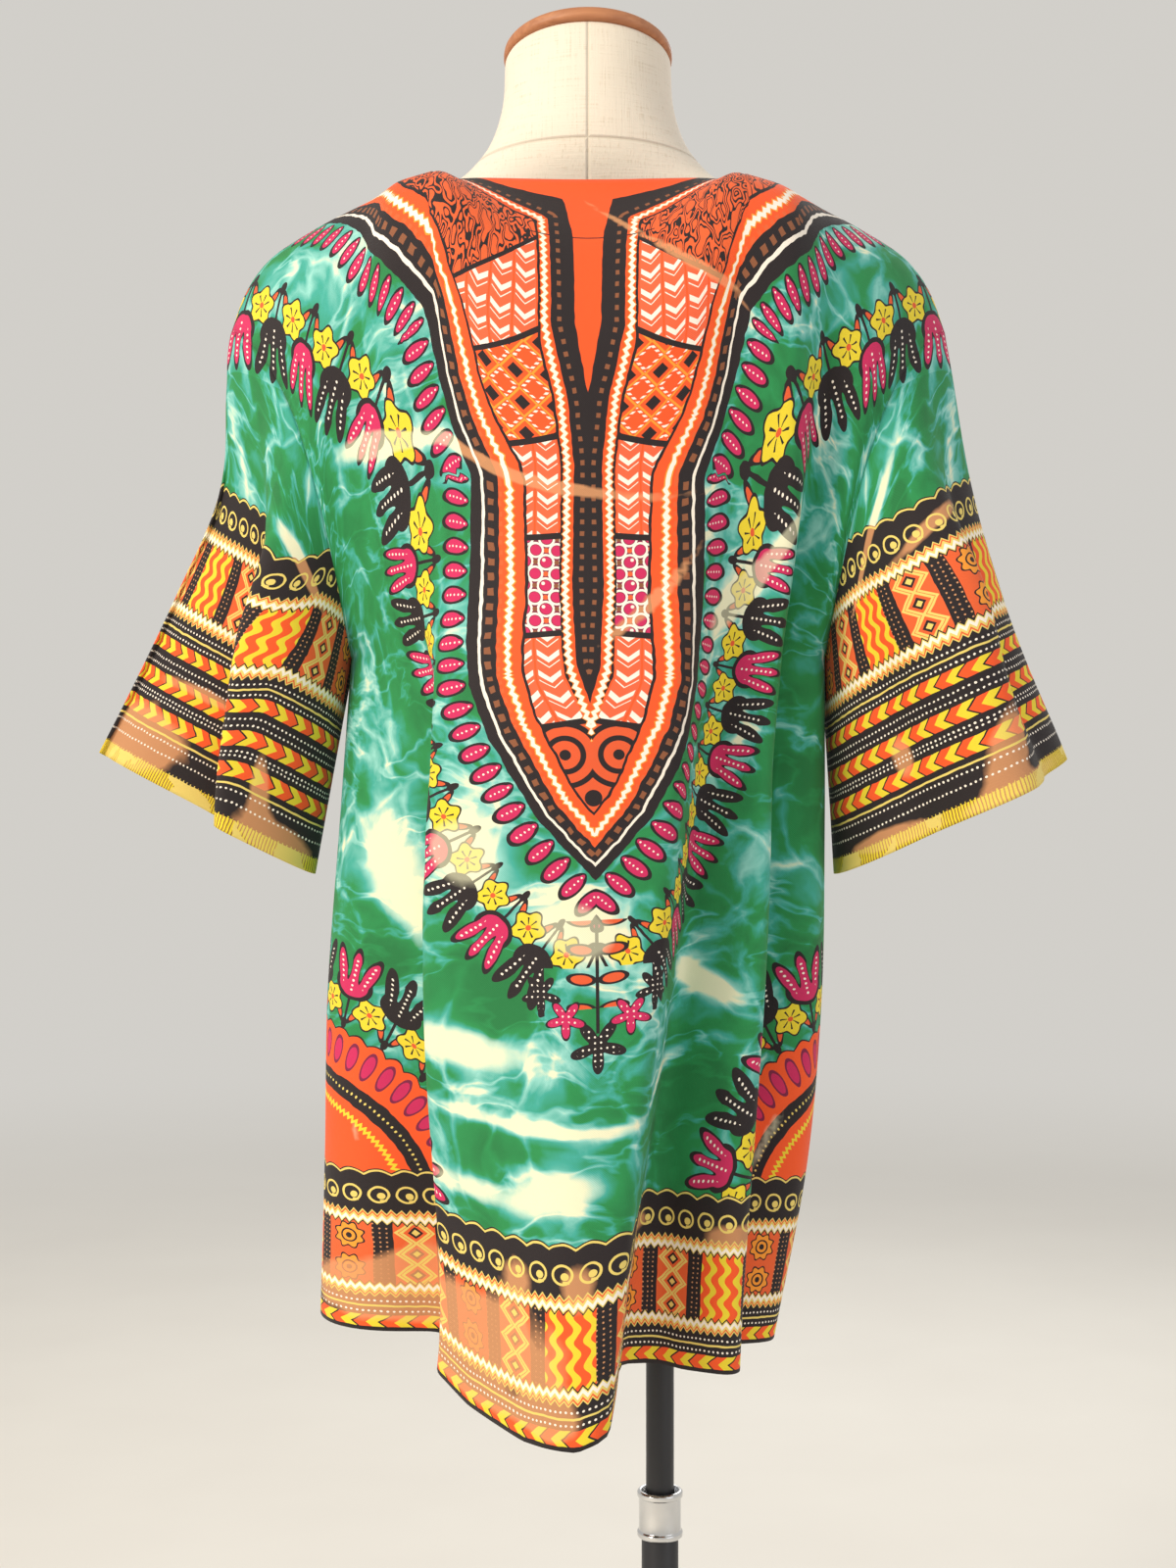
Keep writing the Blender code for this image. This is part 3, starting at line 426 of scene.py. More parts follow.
def panelSheet(side):
    folds = backFolds if side == "back" else frontFolds
    slit = shirtCut["slitLength"] / shirtCut["yokeLength"] if side == "front" else 0.0
    base = baseRows(side)
    positions = spreadColumns(folds, shirtCut["panelHalf"], panelMesh["columns"], panelMesh)
    middle = int(np.flatnonzero(positions == 0)[0])
    if slit:
        positions = np.insert(positions, middle, 0.0)
    levels = list(np.linspace(0, 1, panelMesh["yokeRows"] + 1))
    levels += list(np.linspace(1, 2, panelMesh["bodyRows"] + 1)[1:])
    if slit:
        levels[int(np.argmin(np.abs(np.array(levels) - slit)))] = slit
    rows = []
    flat = []
    for level in levels:
        opening = shirtCut["slitHalfOpening"] * max(0.0, 1 - level / slit) if slit else 0.0
        row = clothRow(base, folds, level, positions, opening)
        row[:, 2] += np.interp(positions, *np.array(hemSway[side]).T) * max(0.0, level - 1) ** 2
        rows.append(row)
        flat.append(np.stack([positions, np.full(len(positions), clothDown(level))], axis=1))
    points = np.vstack(rows)
    flat = np.vstack(flat)
    count = len(positions)
    faces = gridFaces(len(levels), count)
    if slit:
        keep = np.ones(faces.shape[:2], dtype=bool)
        keep[:, middle] = False
        joined = np.arange(len(points))
        for row, level in enumerate(levels):
            if level >= slit:
                joined[row * count + middle + 1] = row * count + middle
        faces = joined[faces[keep]]
        points[:, 1] *= -1
        faces = faces[:, ::-1]
    return points, faces.reshape(-1, 4), flat


def sheetNormals(points, faces):
    turned = np.cross(points[faces[:, 2]] - points[faces[:, 0]], points[faces[:, 3]] - points[faces[:, 1]])
    normals = np.zeros_like(points)
    for corner in range(4):
        np.add.at(normals, faces[:, corner], turned)
    return normals / np.maximum(np.linalg.norm(normals, axis=1, keepdims=True), 1e-12)


def walledCloth(name, points, faces, flat, fields, seam=None):  # both faces of the cloth and its edges
    used = np.unique(faces)
    place = np.zeros(len(points), dtype=int)
    place[used] = np.arange(len(used))
    points, flat, faces = points[used], flat[used], place[faces]
    fields = {key: value[used] for key, value in fields.items()}
    normals = sheetNormals(points, faces)
    if seam is not None:
        normals[seam[used], 1] = 0.0
        normals /= np.linalg.norm(normals, axis=1, keepdims=True)
    half = shirtCut["wall"] / 2
    count = len(points)
    edges = np.concatenate([faces[:, [i, (i + 1) % 4]] for i in range(4)])
    known = {(a, b) for a, b in edges.tolist()}
    rims = [(a, b) for a, b in edges.tolist() if (b, a) not in known]
    solid = faces.tolist() + (faces[:, ::-1] + count).tolist()
    solid += [(end, start, start + count, end + count) for start, end in rims]
    both = np.vstack([points + normals * half, points - normals * half])
    both[:, 0] += shirtCut["offset"]
    mesh = bpy.data.meshes.new(name)
    mesh.from_pydata(both.tolist(), [], solid)
    layer = mesh.uv_layers.new(name="flatCloth")
    corners = np.zeros(len(mesh.loops), dtype=np.int32)
    mesh.loops.foreach_get("vertex_index", corners)
    layer.data.foreach_set("uv", np.vstack([flat, flat])[corners].astype(np.float32).ravel())
    for key, value in fields.items():
        attribute = mesh.attributes.new(key, "FLOAT", "POINT")
        attribute.data.foreach_set("value", np.tile(value, 2).astype(np.float32))
    mesh.shade_smooth()
    mesh.update()
    return linkObject(name, mesh)


# the print: where each thread lies on it, in millimetres on the flat cloth
printLines = {  # half of each line of the yoke print, from its tip up to the shoulder or the neck
    "outline": [
        (0, 461), (16.5, 443), (32, 424), (43, 404), (58, 375), (69, 343), (73.5, 300), (76, 255),
        (77, 222), (82, 214.5), (94, 197), (104, 176), (111, 155), (117.5, 137), (135, 118), (167, 90),
        (197, 32),
    ],
    "flowers": [
        (0, 535), (40, 513), (78, 478), (102, 436), (120, 392), (131, 345), (135, 300), (137, 260),
        (143, 228), (158, 200), (180, 178), (208, 155), (236, 128), (260, 95), (277, 60), (288, 20),
    ],
    "strip": [(0, 158.5), (8.5, 115), (9.8, 56), (15.8, 18.8), (56, 9.3), (100, -10)],
    "spine": [
        (0, 355), (6.7, 332.5), (9.5, 284.5), (8.7, 204), (12.9, 160), (23.8, 116.7), (26.1, 39.6),
        (74.5, 19), (110, 4),
    ],
    "cellEdge": [
        (0, 365.4), (12.7, 338), (16.1, 284), (15.7, 204), (21.6, 160), (30.5, 126.8), (33.8, 44.6),
        (89, 32.4), (120, 25),
    ],
}
printRows = [  # the bars between the rows of the yoke print, each from its inner to its outer end
    ((32, 59.5), (78, 101)), ((33.2, 122), (65.1, 140.6)), ((18, 185.4), (47.3, 194.4)),
    ((16.7, 249), (44, 252.4)), ((15, 311.9), (40.3, 314)), ((1.2, 365), (29.4, 369.5)),
]
hemBorder = {"top": 668.0, "depth": 110.0}
cornerDisc = {"across": 285.0, "down": 690.0, "radius": 122.0}
# where the dye was discharged: middle across and down, half length, half width, turn in degrees, strength
bleachMarks = {
    "back": [
        (-190, 466, 50, 24, 62, 1.1), (-88, 562, 50, 11, 2, 1.2), (-50, 603, 75, 4, 4, 0.9),
        (-88, 645, 34, 8, 0, 1.0), (-28, 642, 30, 12, -12, 1.1), (-12, 492, 24, 17, 20, 1.0),
        (-76, 446, 22, 20, 20, 1.2), (105, 530, 36, 8, 22, 1.2), (62, 85, 95, 3, 45, 1.1),
        (-40, 215, 110, 4.5, 8, 1.1), (38, 292, 46, 5, -42, 1.1), (-172, 196, 40, 8, 12, 1.1),
        (150, 250, 40, 6, -50, 1.0), (108, 292, 30, 10, -40, 1.0), (60, 590, 60, 4, -20, 0.8),
        (-54, 690, 15, 14, 0, 0.9), (-10, 690, 12, 14, 0, 0.9), (-130, 764, 95, 9, 0, 1.2),
        (-72, 728, 55, 24, 0, 1.1), (-170, 735, 60, 22, 0, 1.2), (-235, 750, 50, 16, 0, 1.2),
        (-30, 758, 16, 16, 40, 1.0), (60, 684, 22, 8, 0, 0.9), (150, 692, 30, 10, 0, 0.9),
        (210, 640, 30, 6, -60, 0.8), (-240, 640, 20, 5, 70, 0.7),
    ],
    "front": [
        (-120, 440, 50, 20, 60, 1.1), (80, 560, 50, 10, 5, 1.1), (-50, 600, 70, 5, -6, 0.9),
        (30, 500, 30, 20, 0, 1.1), (40, 240, 100, 5, 10, 1.0), (-150, 200, 50, 8, -20, 1.0),
        (150, 300, 40, 8, 40, 1.0), (-100, 720, 60, 20, 0, 1.1), (110, 740, 60, 18, 0, 1.1),
        (190, 520, 40, 10, 20, 1.0),
    ],
    "left": [
        (-160, 52, 48, 7, 15, 1.2), (-110, 110, 40, 7, -25, 0.9), (-20, 268, 44, 24, 10, 1.3),
        (-228, 272, 30, 22, 0, 1.2), (-62, 215, 50, 5, 14, 0.9), (-205, 232, 8, 30, 12, 0.9),
        (100, 120, 50, 8, 25, 1.0), (150, 250, 50, 16, 0, 1.1),
    ],
    "right": [
        (-150, 42, 50, 6, -18, 1.1), (-105, 90, 45, 7, 12, 1.0), (-112, 262, 15, 34, 20, 1.2),
        (-205, 275, 36, 11, 10, 1.1), (-180, 215, 10, 24, -10, 0.9), (-90, 285, 60, 7, 0, 1.0),
        (100, 100, 50, 8, 25, 1.0), (140, 260, 50, 14, 0, 1.1),
    ],
}


def isInside(places, corners):
    inside = np.zeros(len(places), dtype=bool)
    for start, end in zip(corners, np.roll(corners, -1, axis=0)):
        if start[1] == end[1]:
            continue
        crossing = (start[1] > places[:, 1]) != (end[1] > places[:, 1])
        at = start[0] + (places[:, 1] - start[1]) * (end[0] - start[0]) / (end[1] - start[1])
        inside ^= crossing & (places[:, 0] < at)
    return inside


def lineField(name, places, smoothed=False):  # distance out from a printed line, and the length along it
    line = np.array(printLines[name], dtype=float)
    if smoothed:
        line = curveThrough(line, 160)
    best = np.full(len(places), 1e9)
    along = np.zeros(len(places))
    start = 0.0
    for i, (low, high) in enumerate(zip(line[:-1], line[1:])):
        step = high - low
        size = np.hypot(*step)
        share = (places - low) @ step / size**2
        share = np.clip(share, -20 if i == 0 else 0, 20 if i == len(line) - 2 else 1)
        gap = np.hypot(*(places - low - share[:, None] * step).T)
        nearer = gap < best
        best[nearer] = gap[nearer]
        along[nearer] = (start + share * size)[nearer]
        start += size
    beyond = line[-1] + (line[-1] - line[-2]) * 20
    corners = np.vstack([line, [beyond, (beyond[0], -9000), (-9000, -9000), (-9000, line[0][1])]])
    return np.where(isInside(places, corners), -best, best), along


def rowField(places):  # counts the bars that lie above, with the part of the way to the next
    across, down = places.T
    bars = [low[1] + (across - low[0]) * (high[1] - low[1]) / (high[0] - low[0]) for low, high in printRows]
    count = np.clip((down - bars[0]) / 50, -3, 0)
    for upper, lower in zip(bars, bars[1:] + [bars[-1] + 60]):
        count += np.clip((down - upper) / (lower - upper), 0, 1)
    return count


def bleachField(places, marks):
    total = np.zeros(len(places))
    for across, down, reach, width, turn, strength in marks:
        angle = math.radians(turn)
        x, y = places[:, 0] - across, places[:, 1] - down
        lengthwise = (x * math.cos(angle) + y * math.sin(angle)) / reach
        crosswise = (y * math.cos(angle) - x * math.sin(angle)) / width
        total += strength * np.exp(-(lengthwise**2) - crosswise**2)
    return total


def panelFields(side, flat):
    places = flat * 1000
    half = np.stack([np.abs(places[:, 0]), places[:, 1]], axis=1)
    fields = {"bleach": bleachField(places, bleachMarks[side]), "cellRow": rowField(half)}
    fields["ring"], fields["along"] = lineField("outline", half)
    fields["flowerRing"], fields["flowerAlong"] = lineField("flowers", half, smoothed=True)
    _, fields["petalAlong"] = lineField("outline", half, smoothed=True)
    fields["strip"], _ = lineField("strip", half)
    fields["spine"], fields["spineAlong"] = lineField("spine", half)
    fields["cellEdge"], _ = lineField("cellEdge", half)
    return fields


def sleeveFields(hand, points, flat):  # the yoke print's flowers run on over the shoulder
    places = flat * 1000
    reach = sleeveCut["round"] * 500
    beside = np.stack([285 + places[:, 1], np.abs(places[:, 0]) * 320 / reach], axis=1)
    fields = {"bleach": bleachField(places, bleachMarks[hand])}
    fields["flowerRing"], fields["flowerAlong"] = lineField("flowers", beside, smoothed=True)
    columns = points.reshape(sleeveMesh["rows"] + 1, -1, 3)
    steps = np.linalg.norm(np.diff(columns, axis=0), axis=2)
    up = np.vstack([np.cumsum(steps[::-1], axis=0)[::-1], np.zeros(columns.shape[1])])
    fields["cuffUp"] = up.ravel() * 1000
    return fields


# the inks, and how the print is drawn with them
inks = {
    "dark": "#1A0F13", "orange": "#F4561A", "coral": "#F2643A", "white": "#F8EEE0", "magenta": "#CB1F5C",
    "plum": "#7A1440", "yellow": "#EAD22C", "gold": "#E8CF6E", "tan": "#CF9263", "rust": "#E8602A",
    "brown": "#8A5232", "leaf": "#E2592A", "amber": "#F59A2B", "cream": "#ECEBC9",
}
groundDye = [(0.0, "#12743A"), (0.30, "#1D8A4A"), (0.46, "#3AA596"), (0.70, "#8FD0C6"), (0.94, "#ECEBC9")]


class PrintField:  # a number that varies over the cloth, with plain arithmetic
    def __init__(self, tree, socket):
        self.tree = tree
        self.socket = socket

    def do(self, operation, *others):
        values = [self.socket] + [getattr(other, "socket", other) for other in others]
        return PrintField(self.tree, addNode(self.tree, "Math", values, operation=operation))

    def __add__(self, other):
        return self.do("ADD", other)

    def __sub__(self, other):
        return self.do("SUBTRACT", other)

    def __mul__(self, other):
        return self.do("MULTIPLY", other)

    def __truediv__(self, other):
        return self.do("DIVIDE", other)

    def __mod__(self, other):
        return self.do("FLOORED_MODULO", other)

    def __lt__(self, other):
        return self.do("LESS_THAN", other)

    def __gt__(self, other):
        return self.do("GREATER_THAN", other)

    def __and__(self, other):
        return self.do("MULTIPLY", other)

    def __or__(self, other):
        return self.do("MAXIMUM", other)

    def __abs__(self):
        return self.do("ABSOLUTE")

    def near(self, middle, reach):  # 1 within reach of the middle
        return self.do("COMPARE", middle, reach)

    def every(self, pitch):  # repeats, with 0 in the middle of each repeat
        return self % pitch - pitch / 2

    def zigzag(self, reach):
        return self.do("PINGPONG", reach)


def spread(x, y):  # distance from a motif's middle
    return (x * x + y * y).do("SQRT")


def paint(press, mask, ink, **settings):
    pair = {0: mask.socket, 6: press["colour"], 7: toLinear(inks[ink])}
    press["colour"] = addNode(press["tree"], "Mix", pair, output=2, data_type="RGBA", **settings)


def startPress(tree, names):  # the places on the cloth that every part of the print reads
    flat = addNode(tree, "UVMap", uv_map="flatCloth")
    press = {"tree": tree, "flat": flat}
    parts = addNode(tree, "SeparateXYZ", (flat,)).node.outputs
    press["across"] = PrintField(tree, parts[0]) * 1000
    press["down"] = PrintField(tree, parts[1]) * 1000
    # the blocks are cut and printed by hand, so lines waver by half a millimetre
    waver = PrintField(tree, addNode(tree, "TexNoise", {"Vector": flat, "Scale": 110.0, "Detail": 1.0}))
    press["waver"] = (waver - 0.5) * 2.4
    for name in names:
        press[name] = PrintField(tree, addNode(tree, "Attribute", output=2, attribute_name=name))
    return press


def dyeGround(press, teal):  # green dye, creased while wet: teal clouds, pale veins and cream patches
    tree = press["tree"]
    drift = addNode(tree, "TexNoise", {"Vector": press["flat"], "Scale": 11.0, "Detail": 3.0}, output=1)
    moved = addNode(tree, "VectorMath", (drift, (0.07, 0.07, 0.0), press["flat"]), operation="MULTIPLY_ADD")
    cloud = PrintField(tree, addNode(tree, "TexNoise", {"Vector": moved, "Scale": 15.0, "Detail": 4.0}))
    press["cloud"] = cloud
    wisp = PrintField(tree, addNode(tree, "TexNoise", {"Vector": moved, "Scale": 12.0, "Detail": 6.0}))
    cells = addNode(tree, "TexVoronoi", {"Vector": moved, "Scale": 17.0}, feature="DISTANCE_TO_EDGE")
    fine = PrintField(tree, cells)
    level = addNode(tree, "VectorMath", (moved, (9, 30, 1)), operation="MULTIPLY")  # most creases lie level
    crease = PrintField(tree, addNode(tree, "TexNoise", {"Vector": level, "Scale": 1.0, "Detail": 4.0}))
    veins = (abs(wisp - 0.5) * -19 + 1).do("MAXIMUM", 0) * 0.26
    veins = veins + (fine * -17 + 1).do("MAXIMUM", 0) * 0.34 * cloud
    veins = veins + (abs(crease - 0.5) * -34 + 1).do("MAXIMUM", 0) * 0.24
    press["worn"] = press["bleach"] * (cloud * 1.2 + wisp * 0.9 + 0.02)
    tone = cloud * 1.7 - 0.66 + veins + press["worn"] * 0.85 + teal
    ramp = addNode(tree, "ValToRGB", (tone.socket,))
    stops = ramp.node.color_ramp.elements
    for i, (place, shade) in enumerate(groundDye):
        stop = stops[i] if i < 1 else stops.new(place)
        stop.position, stop.color = place, toLinear(shade)
    stops.remove(stops[-1])
    press["colour"] = ramp


def drawFlowers(press, ring, along):  # blossoms and tulips stand out from a printed edge
    pitch = 30
    cell = (along - (along - 330).do("MAXIMUM", 0) * 0.42) / pitch  # larger over the shoulders
    side = cell.every(1) * pitch
    wide = abs(side)
    black = (cell % 2).do("FLOOR")
    # stems and leaves
    stem = wide.near(0, 0.9) & ring.near(35, 11)
    bud = spread(side / 2.3, (ring - 25) / 4.2)
    leaf = spread((wide - 6.0 - (ring - 33) * 0.45) / 2.0, (ring - 34) / 6.5)
    paint(press, stem | (bud < 1) | (leaf < 1.35), "dark")
    paint(press, leaf < 0.9, "leaf")
    # blossoms between the stems
    x = (cell + 0.5).every(1) * pitch
    y = ring - 38
    size = spread(x, y)
    turn = y.do("ARCTAN2", x)
    edge = size + (turn * 5).do("SINE") * 1.5
    paint(press, edge < 10.4, "dark")
    paint(press, edge < 9.2, "yellow")
    paint(press, (turn * 7).do("COSINE").near(1, 0.22) & size.near(4.2, 2.2), "dark")
    paint(press, size < 1.7, "leaf")
    # tulips, one magenta and one black by turns
    lean = wide - 7.2 - (ring - 56).do("MAXIMUM", 0) * 0.22
    cup = spread(wide / 9.8, (ring - 53) / 8.5)
    outer = spread(lean / 3.3, (ring - 62) / 12)
    inner = spread(wide / 2.9, (ring - 63) / 12.5)
    hollow = spread((wide - 3.7) / 1.4, (ring - 64) / 9)
    tulip = cup.do("MINIMUM", outer).do("MINIMUM", inner).do("MAXIMUM", hollow * -1 + 2)
    paint(press, (tulip < 1.28) & (hollow > 0.75), "dark")
    paint(press, (tulip < 0.98) & (black < 0.5), "magenta")
    rib = abs(lean).do("MINIMUM", wide)
    paint(press, (spread(rib, ring.every(3.4)) < 0.75) & (tulip < 0.7), "white")


def drawPetals(press, ring, along):  # small petals close to the outline
    side = along.every(13.2)
    petal = spread(side / 4.1, (ring - 12) / 8.6)
    point = spread(side / 1.7, (ring - 5.2) / 3.2)
    petal = petal.do("MINIMUM", point)
    paint(press, petal < 1.24, "dark")
    paint(press, petal < 0.92, "magenta")
    paint(press, (spread(side, ring.every(3)) < 0.6) & (petal < 0.7), "white")


def drawYoke(press):  # the yoke print: bands, rows of small motifs and the middle strip
    ring = press["ring"] + press["waver"]
    along = press["along"] + press["waver"]
    tip = ((press["down"] - 290) / 150).do("MAXIMUM", 0)
    inward = ring * (tip * -0.5 - 1)
    across, down = abs(press["across"]), press["down"]
    cell = press["cellEdge"]
    row = press["cellRow"]
    tree, ground = press["tree"], press["colour"]
    press["colour"] = toLinear(inks["coral"])
    # chevrons in two columns
    x = (cell - 1.5).every(15.5)
    y = (down + abs(x) * 0.75) % 12.5
    paint(press, y.near(3.2, 1.7) & (abs(x) < 6.3), "white")
    paint(press, y.near(7.8, 0.35) & (abs(x) < 6.3), "white")
    paint(press, (x.near(7.75, 0.6) | x.near(-7.75, 0.6)), "orange")
    # row of lozenges
    lozenges = row.near(1.5, 0.5)
    paint(press, lozenges, "orange")
    x = (cell - 10).every(20)
    lozenge = abs(x) / 7 + abs((down - 6).every(19)) / 6.5
    paint(press, lozenges & lozenge.near(1.35, 0.13), "amber")
    paint(press, lozenges & lozenge.near(1.75, 0.16) & (down.every(3) < 0), "white")
    paint(press, lozenges & (lozenge < 0.72), "dark")
    # row of discs and crescents
    discs = row.near(3.5, 0.5)
    paint(press, discs, "plum")
    x, y = (cell - 3).every(13), (down - 4).every(15)
    corner = spread(abs(x) - 6.5, abs(y) - 7.5)
    paint(press, discs & (corner.near(4.4, 0.7) | spread(x, y).near(4.6, 0.7)), "white")
    paint(press, discs & (spread(abs(x) - 6.5, abs(y)) < 1.5), "brown")
    paint(press, discs & (spread(abs(x), abs(y) - 7.5) < 1.6), "rust")
    paint(press, discs & ((corner < 3.3) | (spread(x, y) < 3.4)), "magenta")
    paint(press, discs & (spread(x - 1.4, y + 1.4) < 1.1), "white")
    # shoulder rows, leafy lines on dark orange
    upper = row < 0
    paint(press, upper, "rust")
    squeezed = addNode(tree, "VectorMath", (press["flat"], (150, 80, 0)), operation="MULTIPLY")
    leaves = PrintField(tree, addNode(tree, "TexNoise", {"Vector": squeezed, "Scale": 0.8, "Detail": 1.0}))
    lines = leaves.near(0.5, 0.022) | leaves.near(0.6, 0.022) | leaves.near(0.4, 0.022)
    paint(press, upper & lines, "dark")
    # the emblem is plain rings
    lower = row > 5
    paint(press, lower, "leaf")
    rings = spread(across - 15, down - 386)
    paint(press, lower & ((rings % 8.5) < 3.2) & (rings < 24), "dark")
    paint(press, lower & (spread(across, down - 412) < 5), "dark")
    # bars between the rows
    bar = row.every(1)
    bars = (abs(bar) > 0.468) & (row > -0.4) & (row < 5.4)
    paint(press, bars, "dark")
    # band along the outline, from the inside out
    paint(press, inward < 38.5, "dark")
    paint(press, inward < 36.5, "orange")
    jag = (along.zigzag(2.6) - 1.3) * 0.8
    paint(press, (inward - jag).near(27.5, 2.6), "amber")
    paint(press, (inward - jag).near(27.5, 1.6), "white")
    paint(press, inward.near(21, 1.4) & (along.every(6) < 0), "rust")
    paint(press, inward < 20, "dark")
    squares = along.every(9).near(0, 2.1) & inward.near(14.6, 2.1)
    paint(press, squares, "brown")
    paint(press, inward.near(8.9, 1.1), "white")
    # the middle: jagged line, dark band with squares, plain strip
    spine, spineAlong = press["spine"], press["spineAlong"]
    edge = cell + press["waver"] * 0.7
    # past the neckline the band ends, and the shoulder row goes on
    paint(press, (edge < 1.2) & (spine < 11.8), "dark")
    paint(press, (edge < -0.6) & (spine < 10), "orange")
    jag = (spineAlong.zigzag(2.4) - 1.2) * 0.9
    paint(press, (spine - jag).near(4.2, 2.0), "amber")
    paint(press, (spine - jag).near(4.2, 1.4), "white")
    inner = spine + press["waver"] * 0.6
    paint(press, inner < 0, "dark")
    paint(press, inner.near(-5.4, 1.3) & (spineAlong.every(7.5).near(0, 1.5)), "brown")
    strip = press["strip"] + press["waver"] * 0.6
    paint(press, strip < 0, "orange")
    paint(press, down.near(57, 0.45) & (across < 44), "dark")  # the facing's stitches
    pair = {0: (ring < 0).socket, 6: ground, 7: press["colour"]}
    press["colour"] = addNode(tree, "Mix", pair, output=2, data_type="RGBA")


def drawSprig(press):  # leaves and a dark flower hang from the tip of the yoke print
    side, down = abs(press["across"]), press["down"]
    paint(press, side.near(0, 1.0) & down.near(516, 34), "dark")
    leaf = spread((side - 9 - (down.every(17)) * -0.55) / 6.5, down.every(17) / 3.0)
    span = down.near(510, 25.5)
    paint(press, span & (leaf < 1.3), "dark")
    paint(press, span & (leaf < 0.9), "leaf")
    for across, at, size, ink in ((0, 557, 15, "dark"), (32, 527, 11, "dark"), (18, 541, 10, "magenta")):
        x, y = side - across, down - at
        turn = x.do("ARCTAN2", y)
        flower = spread(x, y) - (turn * 5).do("COSINE") * size * 0.36
        if ink != "dark":
            paint(press, flower < size * 0.86, "dark")
        paint(press, flower < size * 0.72, ink)
        paint(press, (spread(x.every(3.4), y.every(3.4)) < 0.6) & (flower < size * 0.5), "white")


def drawCorner(press):  # quarter discs over the hem border at the side seams
    x = abs(press["across"]) - cornerDisc["across"]
    y = press["down"] - cornerDisc["down"]
    turn = y.do("ARCTAN2", x) * cornerDisc["radius"]
    reach = spread(x, y) - cornerDisc["radius"] + press["waver"]
    drawFlowers(press, reach + 17, turn + 6)
    scallop = reach - abs((turn / 14 * math.pi).do("SINE")) * 3.5
    paint(press, scallop < 1.2, "dark")
    paint(press, scallop < 0, "orange")
    petal = spread(turn.every(14) / 4.0, (reach + 12) / 9)
    paint(press, petal < 1.2, "plum")
    paint(press, petal < 0.92, "magenta")
    paint(press, reach.near(-35, 6.5), "dark")
    paint(press, (spread(turn.every(5), reach + 35) < 1.0), "gold")
    paint(press, (reach + turn.zigzag(3) - 1.5).near(-50, 1.5), "yellow")


def drawBorder(press, deep, across, onSleeve):  # stripes and blocks, measured down from the border's top
    waver = press["waver"]
    h = deep + waver * 0.6
    x = across + waver * 0.6
    top = h + abs((x / 16 * math.pi).do("SINE")) * 3.2
    paint(press, top > 0, "dark")
    paint(press, top.near(1.6, 0.7), "gold")
    ringX, ringY = x.every(16), h - 16.5
    rings = spread(ringX, ringY)
    paint(press, rings.near(5.7, 0.75), "gold")
    dash = ringX.near(2.4, 1.9) & ringY.near(4.6, 0.8)
    paint(press, (spread(ringX - 1.4, ringY - 1.0) < 2.4) | dash, "gold")
    # blocks, with jagged lines above and below
    blocks = h.near(61, 26)
    paint(press, blocks, "rust")
    place = x % 154
    tall = h - 37
    first = place.near(15, 15) | place.near(91, 15)
    middle = abs((place - 15 + 38) % 76 - 38)
    lozenge = middle / 8.5 + abs(tall.every(16)) / 8
    paint(press, blocks & first & lozenge.near(1.32, 0.12), "gold")
    paint(press, blocks & first & lozenge.near(1.0, 0.13), "gold")
    paint(press, blocks & first & (lozenge < 0.55), "dark")
    paint(press, blocks & first & (lozenge < 0.3), "gold")
    paint(press, blocks & first & (middle > 12.6), "dark")
    waves = (place + (tall * 0.42).do("SINE") * 2.2) % 10
    wavy = blocks & place.near(130, 15)
    paint(press, wavy, "orange")
    paint(press, wavy & (waves < 4.6), "yellow")
    disc = blocks & place.near(53, 14)
    dx, dy = place - 53, tall.every(24)
    size = spread(dx, dy)
    petals = size + (dy.do("ARCTAN2", dx) * 8).do("COSINE") * 1.1
    paint(press, disc & (petals < 9.6), "dark")
    paint(press, disc & (petals < 8.4), "amber")
    paint(press, disc & size.near(4.6, 0.6), "dark")
    paint(press, disc & (size < 2), "dark")
    bars = place.near(34.5, 4.5) | place.near(71.5, 4.5) | place.near(110.5, 4.5) | place.near(149.5, 4.5)
    paint(press, blocks & bars, "dark")
    paint(press, blocks & bars & (spread((place + 1).every(3.7), tall.every(3.4)) < 0.6), "tan")
    jag = x.zigzag(2.7) * 1.3
    for middleLine, sign in ((33.5, 1), (88.5, -1)):
        band = h + jag * sign
        paint(press, band.near(middleLine + sign * 1.8, 5.4), "dark")
        paint(press, band.near(middleLine + sign * 1.8, 4.2), "gold")
        paint(press, band.near(middleLine + sign * 3.6, 1.4), "white")
        paint(press, band.near(middleLine - sign * 0.6, 0.7), "rust")
    # dotted black lines and slanting stripes down to the edge
    paint(press, h > 94, "dark")
    dots = x.every(3.3)
    lines = h.near(101, 0.7)
    for at in (97.2, 105) + ((122, 127, 145.5, 148.5, 172, 180) if onSleeve else ()):
        paint(press, spread(dots, h - at) < 0.75, "white")
    if onSleeve:
        lines = lines | h.near(168, 0.7)
    paint(press, lines, "gold")
    stripes = h.near(112.5, 4.6)
    if onSleeve:
        stripes = stripes | h.near(136, 5.4) | h.near(158, 5.4)
    slant = (x + abs((h - 1).every(22.5)) * 1.1) % 15
    paint(press, stripes, "orange")
    paint(press, stripes & (slant < 6.5), "yellow")
    paint(press, stripes & slant.near(7.2, 0.7), "dark")
    if onSleeve:
        paint(press, h > 189, "yellow")
        paint(press, (h > 189) & (x.every(2.2).near(0, 0.35)), "brown")  # threads of the raw edge
        paint(press, (h > 189) & (press["cloud"] > 0.5), "gold")
        paint(press, h.near(189.5, 0.6) & (x.every(3.2).near(0, 1.2)), "dark")  # stitches


cottonFinish = {"Roughness": 0.78, "Sheen Weight": 0.06}


